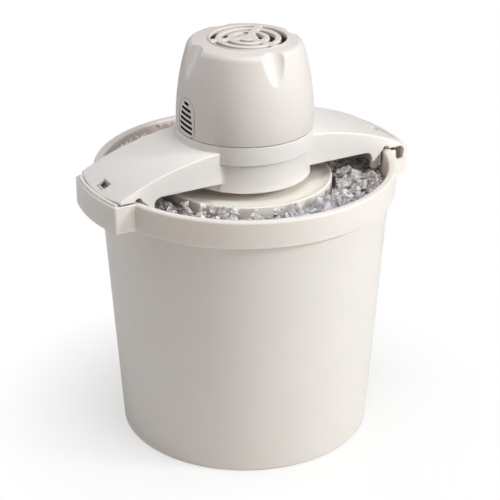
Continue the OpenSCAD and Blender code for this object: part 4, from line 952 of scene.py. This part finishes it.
def make_cover():
    shell = cover_shell()
    fuse(shell, grille_disc())
    vents = [*vent_slots(), vent_groove()]
    cut(shell, *vents, *[turned(v) for v in vents], *grille_slots())
    spigot_r = RING_R - SHELL - 0.3
    mid_wall_r = RING_R - COVER_WALL / 2
    spigot = lathe("spigot", [
        (spigot_r - 2, COVER_Z - 3.5), (spigot_r, COVER_Z - 3.5), (spigot_r, COVER_Z), (mid_wall_r, COVER_Z),
        (mid_wall_r, COVER_Z + 2), (spigot_r - 2, COVER_Z + 2)])
    fuse(shell, spigot)
    dressed(shell, "motor_housing", COVER_PAINTED_SHADE_LOOK, "power_head", "motor_cover")
    # painted shade in the vent slots
    paint_slot_shade(shell)


# ---------- lid ----------

LID_DECK_Z = RIM_Z - 15.2
LID_EDGE_RISE = 3.4
LID_SWEEP = 12.0
LID_SWEEP_POWER = 2.2
NOTCH_TURN = -52.0
NOTCH_HALF_W = 3.0
LUG_OUT_R, LUG_IN_R, LUG_HALF = 17, 12.2, 25     # radii, and half the angle of each lug in degrees


def make_lid():
    """Lid whose deck sweeps up to a thin edge, with a notch in its skirt and three lugs for the drive."""
    under_z = LID_DECK_Z - 3
    edge_z = LID_DECK_Z + LID_EDGE_RISE
    skirt_r = LID_R - 1.65
    bore = 6.55
    steps = 10
    sweep = [(LID_R - 1.5 - LID_SWEEP * k / steps,
              LID_DECK_Z + LID_EDGE_RISE * (1 - k / steps) ** LID_SWEEP_POWER) for k in range(steps + 1)]
    lid = lathe("lid", rounded([
        (bore, under_z), (skirt_r, under_z), (skirt_r, LID_FOOT_Z, 0.4), (LID_R - 0.6, LID_FOOT_Z, 0.5),
        (LID_R, LID_FOOT_Z + 3, 2), (LID_R, edge_z - 0.4, 0.7), (LID_R - 0.9, edge_z + 0.1, 0.5)] + sweep
        + [(bore, LID_DECK_Z, 0.4)]))
    w, foot_z, top_z = NOTCH_HALF_W, LID_FOOT_Z - BITE, LID_DECK_Z - 0.5
    notch = rounded([(-w, foot_z), (w, foot_z), (w, top_z, 2), (-w, top_z, 2)])
    place = Matrix.Rotation(math.radians(NOTCH_TURN), 4, "Z") @ UPRIGHT_ACROSS
    cut(lid, prism("lid_notch", notch, [(0, skirt_r - BITE), (0, LID_R + BITE)], place))
    lugs = []
    for turn in (0, 120, 240):
        start, end = turn - LUG_HALF, turn + LUG_HALF
        ends = [(*p, 0.8) for p in arc(0, 0, LUG_OUT_R, start, end, 1)]
        outline = rounded([ends[0]] + arc(0, 0, LUG_OUT_R, start, end, 12)[1:-1] + [ends[1]]
                          + arc(0, 0, LUG_IN_R, end, start, 12), steps=3)
        lugs.append(prism("lug", outline, edge_levels(LID_DECK_Z - BITE, LID_DECK_Z + 3.6, 0, 0.5)))
    fuse(lid, *lugs)
    return dressed(lid, "lid", LOOKS["lid_plastic"], "lid", "canister_lid")


# ---------- ice ----------

def ice_chunk(rng, size):
    """Irregular clear lump: the hull of a few scattered points, with its edges softened."""
    work = bmesh.new()
    for _ in range(rng.randint(9, 13)):
        d = Vector((rng.gauss(0, 1), rng.gauss(0, 1), rng.gauss(0, 1))).normalized()
        stretch = Vector((rng.uniform(0.75, 1.1), rng.uniform(0.6, 0.95), rng.uniform(0.5, 0.85)))
        work.verts.new([d[i] * stretch[i] * size / 2 for i in range(3)])
    bmesh.ops.convex_hull(work, input=work.verts)
    loose = [v for v in work.verts if not v.link_faces]
    bmesh.ops.delete(work, geom=loose, context="VERTS")
    bmesh.ops.dissolve_limit(work, angle_limit=math.radians(12), verts=work.verts, edges=work.edges)
    bmesh.ops.bevel(work, geom=work.edges[:], offset=size * 0.022, segments=1, affect="EDGES",
                    clamp_overlap=True)
    mesh = bpy.data.meshes.new("chunk")
    work.to_mesh(mesh)
    work.free()
    return mesh


ICE_BED_Z = RIM_Z - 19.6
LUMPS = 380
MOST_TRIES = 12000
LUMP_SIZES = (11.5, 19)
LUMP_GAP = 0.33              # least distance between two lumps, as a share of their sizes together
HEAP_TURNS = (1.65, 2.5)     # where the ice is heaped against the wall behind the -X arm, in radians
HEAP_R = 105
HEAP_TOP_Z = RIM_Z + 2
BACK_TOP_Z = RIM_Z - 2.5
UNDER_ARM_TOP_Z = RIM_Z - 13


def lump_place(rng, size, heaped):
    """Middle of a lump that clears the canister, the lid, the bucket's wall, the arms and their legs."""
    reach = size * 0.5
    angle = rng.uniform(0, TAU)
    in_heap = HEAP_TURNS[0] < angle < HEAP_TURNS[1]
    behind = math.sin(angle) > 0.45
    top_z = HEAP_TOP_Z if in_heap else BACK_TOP_Z if behind else ICE_TOP_Z
    z = top_z - reach if in_heap and heaped else rng.uniform(ICE_BED_Z - 2, top_z - reach)
    r = rng.uniform(HEAP_R if in_heap else LID_R + 0.8 + reach, bore_r(z - reach) - 0.5 - reach)
    p = Vector((r * math.cos(angle), r * math.sin(angle), z))
    if abs(p.x) + reach > LEG_IN_X - 9 and abs(p.y) < ARM_HALF_W + reach:
        p.z = LEG_TIP_Z - 0.8 - reach
    elif abs(p.y) < ARM_HALF_W - 4:
        p.z = min(p.z, UNDER_ARM_TOP_Z - reach)
    return p


def make_ice():
    """A bed of ice round the canister, with loose lumps on it that rise to the rim at the back."""
    rng = random.Random(7)
    floor_r = bore_r(FLOOR_Z) - 0.6
    can_gap_r = high("canister", X) + 1.0
    lid_gap_r = LID_R + 0.8
    step_z = LID_FOOT_Z - 3
    bed = lathe("ice_bed", rounded([
        (can_gap_r, FLOOR_Z + 0.2), (floor_r, FLOOR_Z + 0.2), (bore_r(ICE_BED_Z) - 0.6, ICE_BED_Z, 3),
        (lid_gap_r + 3, ICE_BED_Z), (lid_gap_r + 3, step_z), (can_gap_r, step_z)]), sides=96)
    work = bmesh.new()
    work.from_mesh(bed.data)
    placed = []
    tries = 0
    while len(placed) < LUMPS and tries < MOST_TRIES:
        tries += 1
        size = rng.uniform(*LUMP_SIZES)
        p = lump_place(rng, size, heaped=tries % 2)
        if any((p - q).length < LUMP_GAP * (size + other) for q, other in placed):
            continue
        placed.append((p, size))
        mesh = ice_chunk(rng, size)
        spin = Matrix.Rotation(rng.uniform(0, TAU), 4, Vector([rng.gauss(0, 1) for _ in range(3)]))
        mesh.transform(Matrix.Scale(MM, 4) @ Matrix.Translation(p) @ spin)
        work.from_mesh(mesh)
        bpy.data.meshes.remove(mesh)
    work.to_mesh(bed.data)
    work.free()
    return dressed(bed, "packed_ice", LOOKS["ice"], "bucket", "crushed_ice", sharp=25)


# ---------- everything that keeps its CAD shape ----------

def dress_frame():
    kept = {"bucket", "bridge_frame", "motor_cover", "canister_lid", "crushed_ice"}
    for name, obj in frame["nodes"].items():
        if name in kept:
            continue
        obj.data.materials.clear()
        obj.data.materials.append(LOOKS[SLOT_OF[name]])


# ---------- stage ----------

def light(name, place, size, power, colour):
    """Rectangular lamp that points at the middle of the piece."""
    lamp = bpy.data.lights.new(name, "AREA")
    lamp.shape = "RECTANGLE"
    lamp.size, lamp.size_y = size
    lamp.energy = power
    lamp.color = colour
    obj = bpy.data.objects.new(name, lamp)
    obj.location = place
    obj.rotation_euler = (Vector(AIM) - Vector(place)).to_track_quat("-Z", "Y").to_euler()
    bpy.context.scene.collection.objects.link(obj)


VIEW_TURN = math.radians(-119)      # direction of the camera from the axis
AIM = (0, 0, 0.19)
AMBIENT = 0.18


def around_view(turn, distance, height):
    """Point at an angle from the camera's direction; positive turns go to the viewer's right."""
    a = VIEW_TURN + math.radians(turn)
    return (distance * math.cos(a), distance * math.sin(a), height)


def seen_directly(n):
    """1 for rays that come from the camera, straight or through ice, and 0 for all others."""
    rays = n.add("ShaderNodeLightPath")
    either = n.add("ShaderNodeMath", operation="MAXIMUM")
    n.link(rays.outputs["Is Camera Ray"], either.inputs[0])
    n.link(rays.outputs["Is Transmission Ray"], either.inputs[1])
    return either.outputs[0]


def make_stage():
    """White paper that fades to plain white away from the piece, under a white sky."""
    half = 9000
    floor = mesh_object("floor", [(-half, -half, 0), (half, -half, 0), (half, half, 0), (-half, half, 0)],
                        [[0, 1, 2, 3]])
    n = Nodes("paper_floor")
    n.set(Base_Color=(0.93, 0.92, 0.90, 1), Roughness=0.28, Specular_IOR_Level=0.5)
    away = n.add("ShaderNodeVectorMath", operation="LENGTH")
    n.link(n.place, away.inputs[0])
    fade = n.ramp(away.outputs["Value"], [(0.09, 0.5), (0.25, 1.0)])
    share = n.add("ShaderNodeMath", operation="MULTIPLY")
    n.link(fade, share.inputs[0])
    n.link(seen_directly(n), share.inputs[1])
    glow = n.add("ShaderNodeEmission", strength=1.0)
    both = n.add("ShaderNodeMixShader")
    n.link(share.outputs[0], both.inputs["Fac"])
    n.link(n.shader.outputs[0], both.inputs[1])
    n.link(glow.outputs[0], both.inputs[2])
    n.link(both.outputs[0], n.tree.nodes["Material Output"].inputs["Surface"])
    floor.data.materials.append(n.material)

    world = bpy.data.worlds.new("studio")
    world.use_nodes = True
    bpy.context.scene.world = world
    tree = world.node_tree
    sky = tree.nodes["Background"]
    sky.inputs["Color"].default_value = (1.0, 0.865, 0.75, 1)
    sky.inputs["Strength"].default_value = AMBIENT
    white = tree.nodes.new("ShaderNodeBackground")
    white.inputs["Color"].default_value = (1, 1, 1, 1)
    white.inputs["Strength"].default_value = 1.0
    rays = tree.nodes.new("ShaderNodeLightPath")
    swap = tree.nodes.new("ShaderNodeMixShader")
    tree.links.new(rays.outputs["Is Camera Ray"], swap.inputs["Fac"])
    tree.links.new(sky.outputs[0], swap.inputs[1])
    tree.links.new(white.outputs[0], swap.inputs[2])
    tree.links.new(swap.outputs[0], tree.nodes["World Output"].inputs["Surface"])

    light("key", around_view(74, 1.3, 0.95), (0.26, 0.26), 10.4, (0.92, 0.975, 1.0))
    light("broad", around_view(50, 1.3, 1.0), (0.9, 0.8), 6.5, (0.93, 0.965, 1.0))
    light("side", around_view(-105, 1.4, 0.8), (0.5, 1.0), 5.5, (0.80, 0.90, 1.0))
    light("top", around_view(25, 0.4, 1.85), (0.9, 0.9), 15.0, (0.90, 0.925, 0.98))


def make_camera():
    """Camera at the photograph's viewpoint."""
    lens = bpy.data.cameras.new("camera")
    lens.lens = 120.83
    lens.sensor_width = 36
    lens.sensor_fit = "HORIZONTAL"
    lens.shift_x = 0.0102
    lens.clip_end = 50
    x, y, height, looks_down = -0.6778, -1.2228, 0.8216, 25.12
    obj = bpy.data.objects.new("camera", lens)
    obj.location = (x, y, height)
    obj.rotation_euler = (math.radians(90 - looks_down), 0, math.atan2(-x, y) + math.pi)
    bpy.context.scene.collection.objects.link(obj)
    bpy.context.scene.camera = obj


make_camera()
make_stage()
make_bucket()
make_bridge()
make_cover()
make_lid()
make_ice()
dress_frame()

scene = bpy.context.scene
scene.view_settings.view_transform = "Standard"


def corners(box):
    return [list(corner) for corner in box]
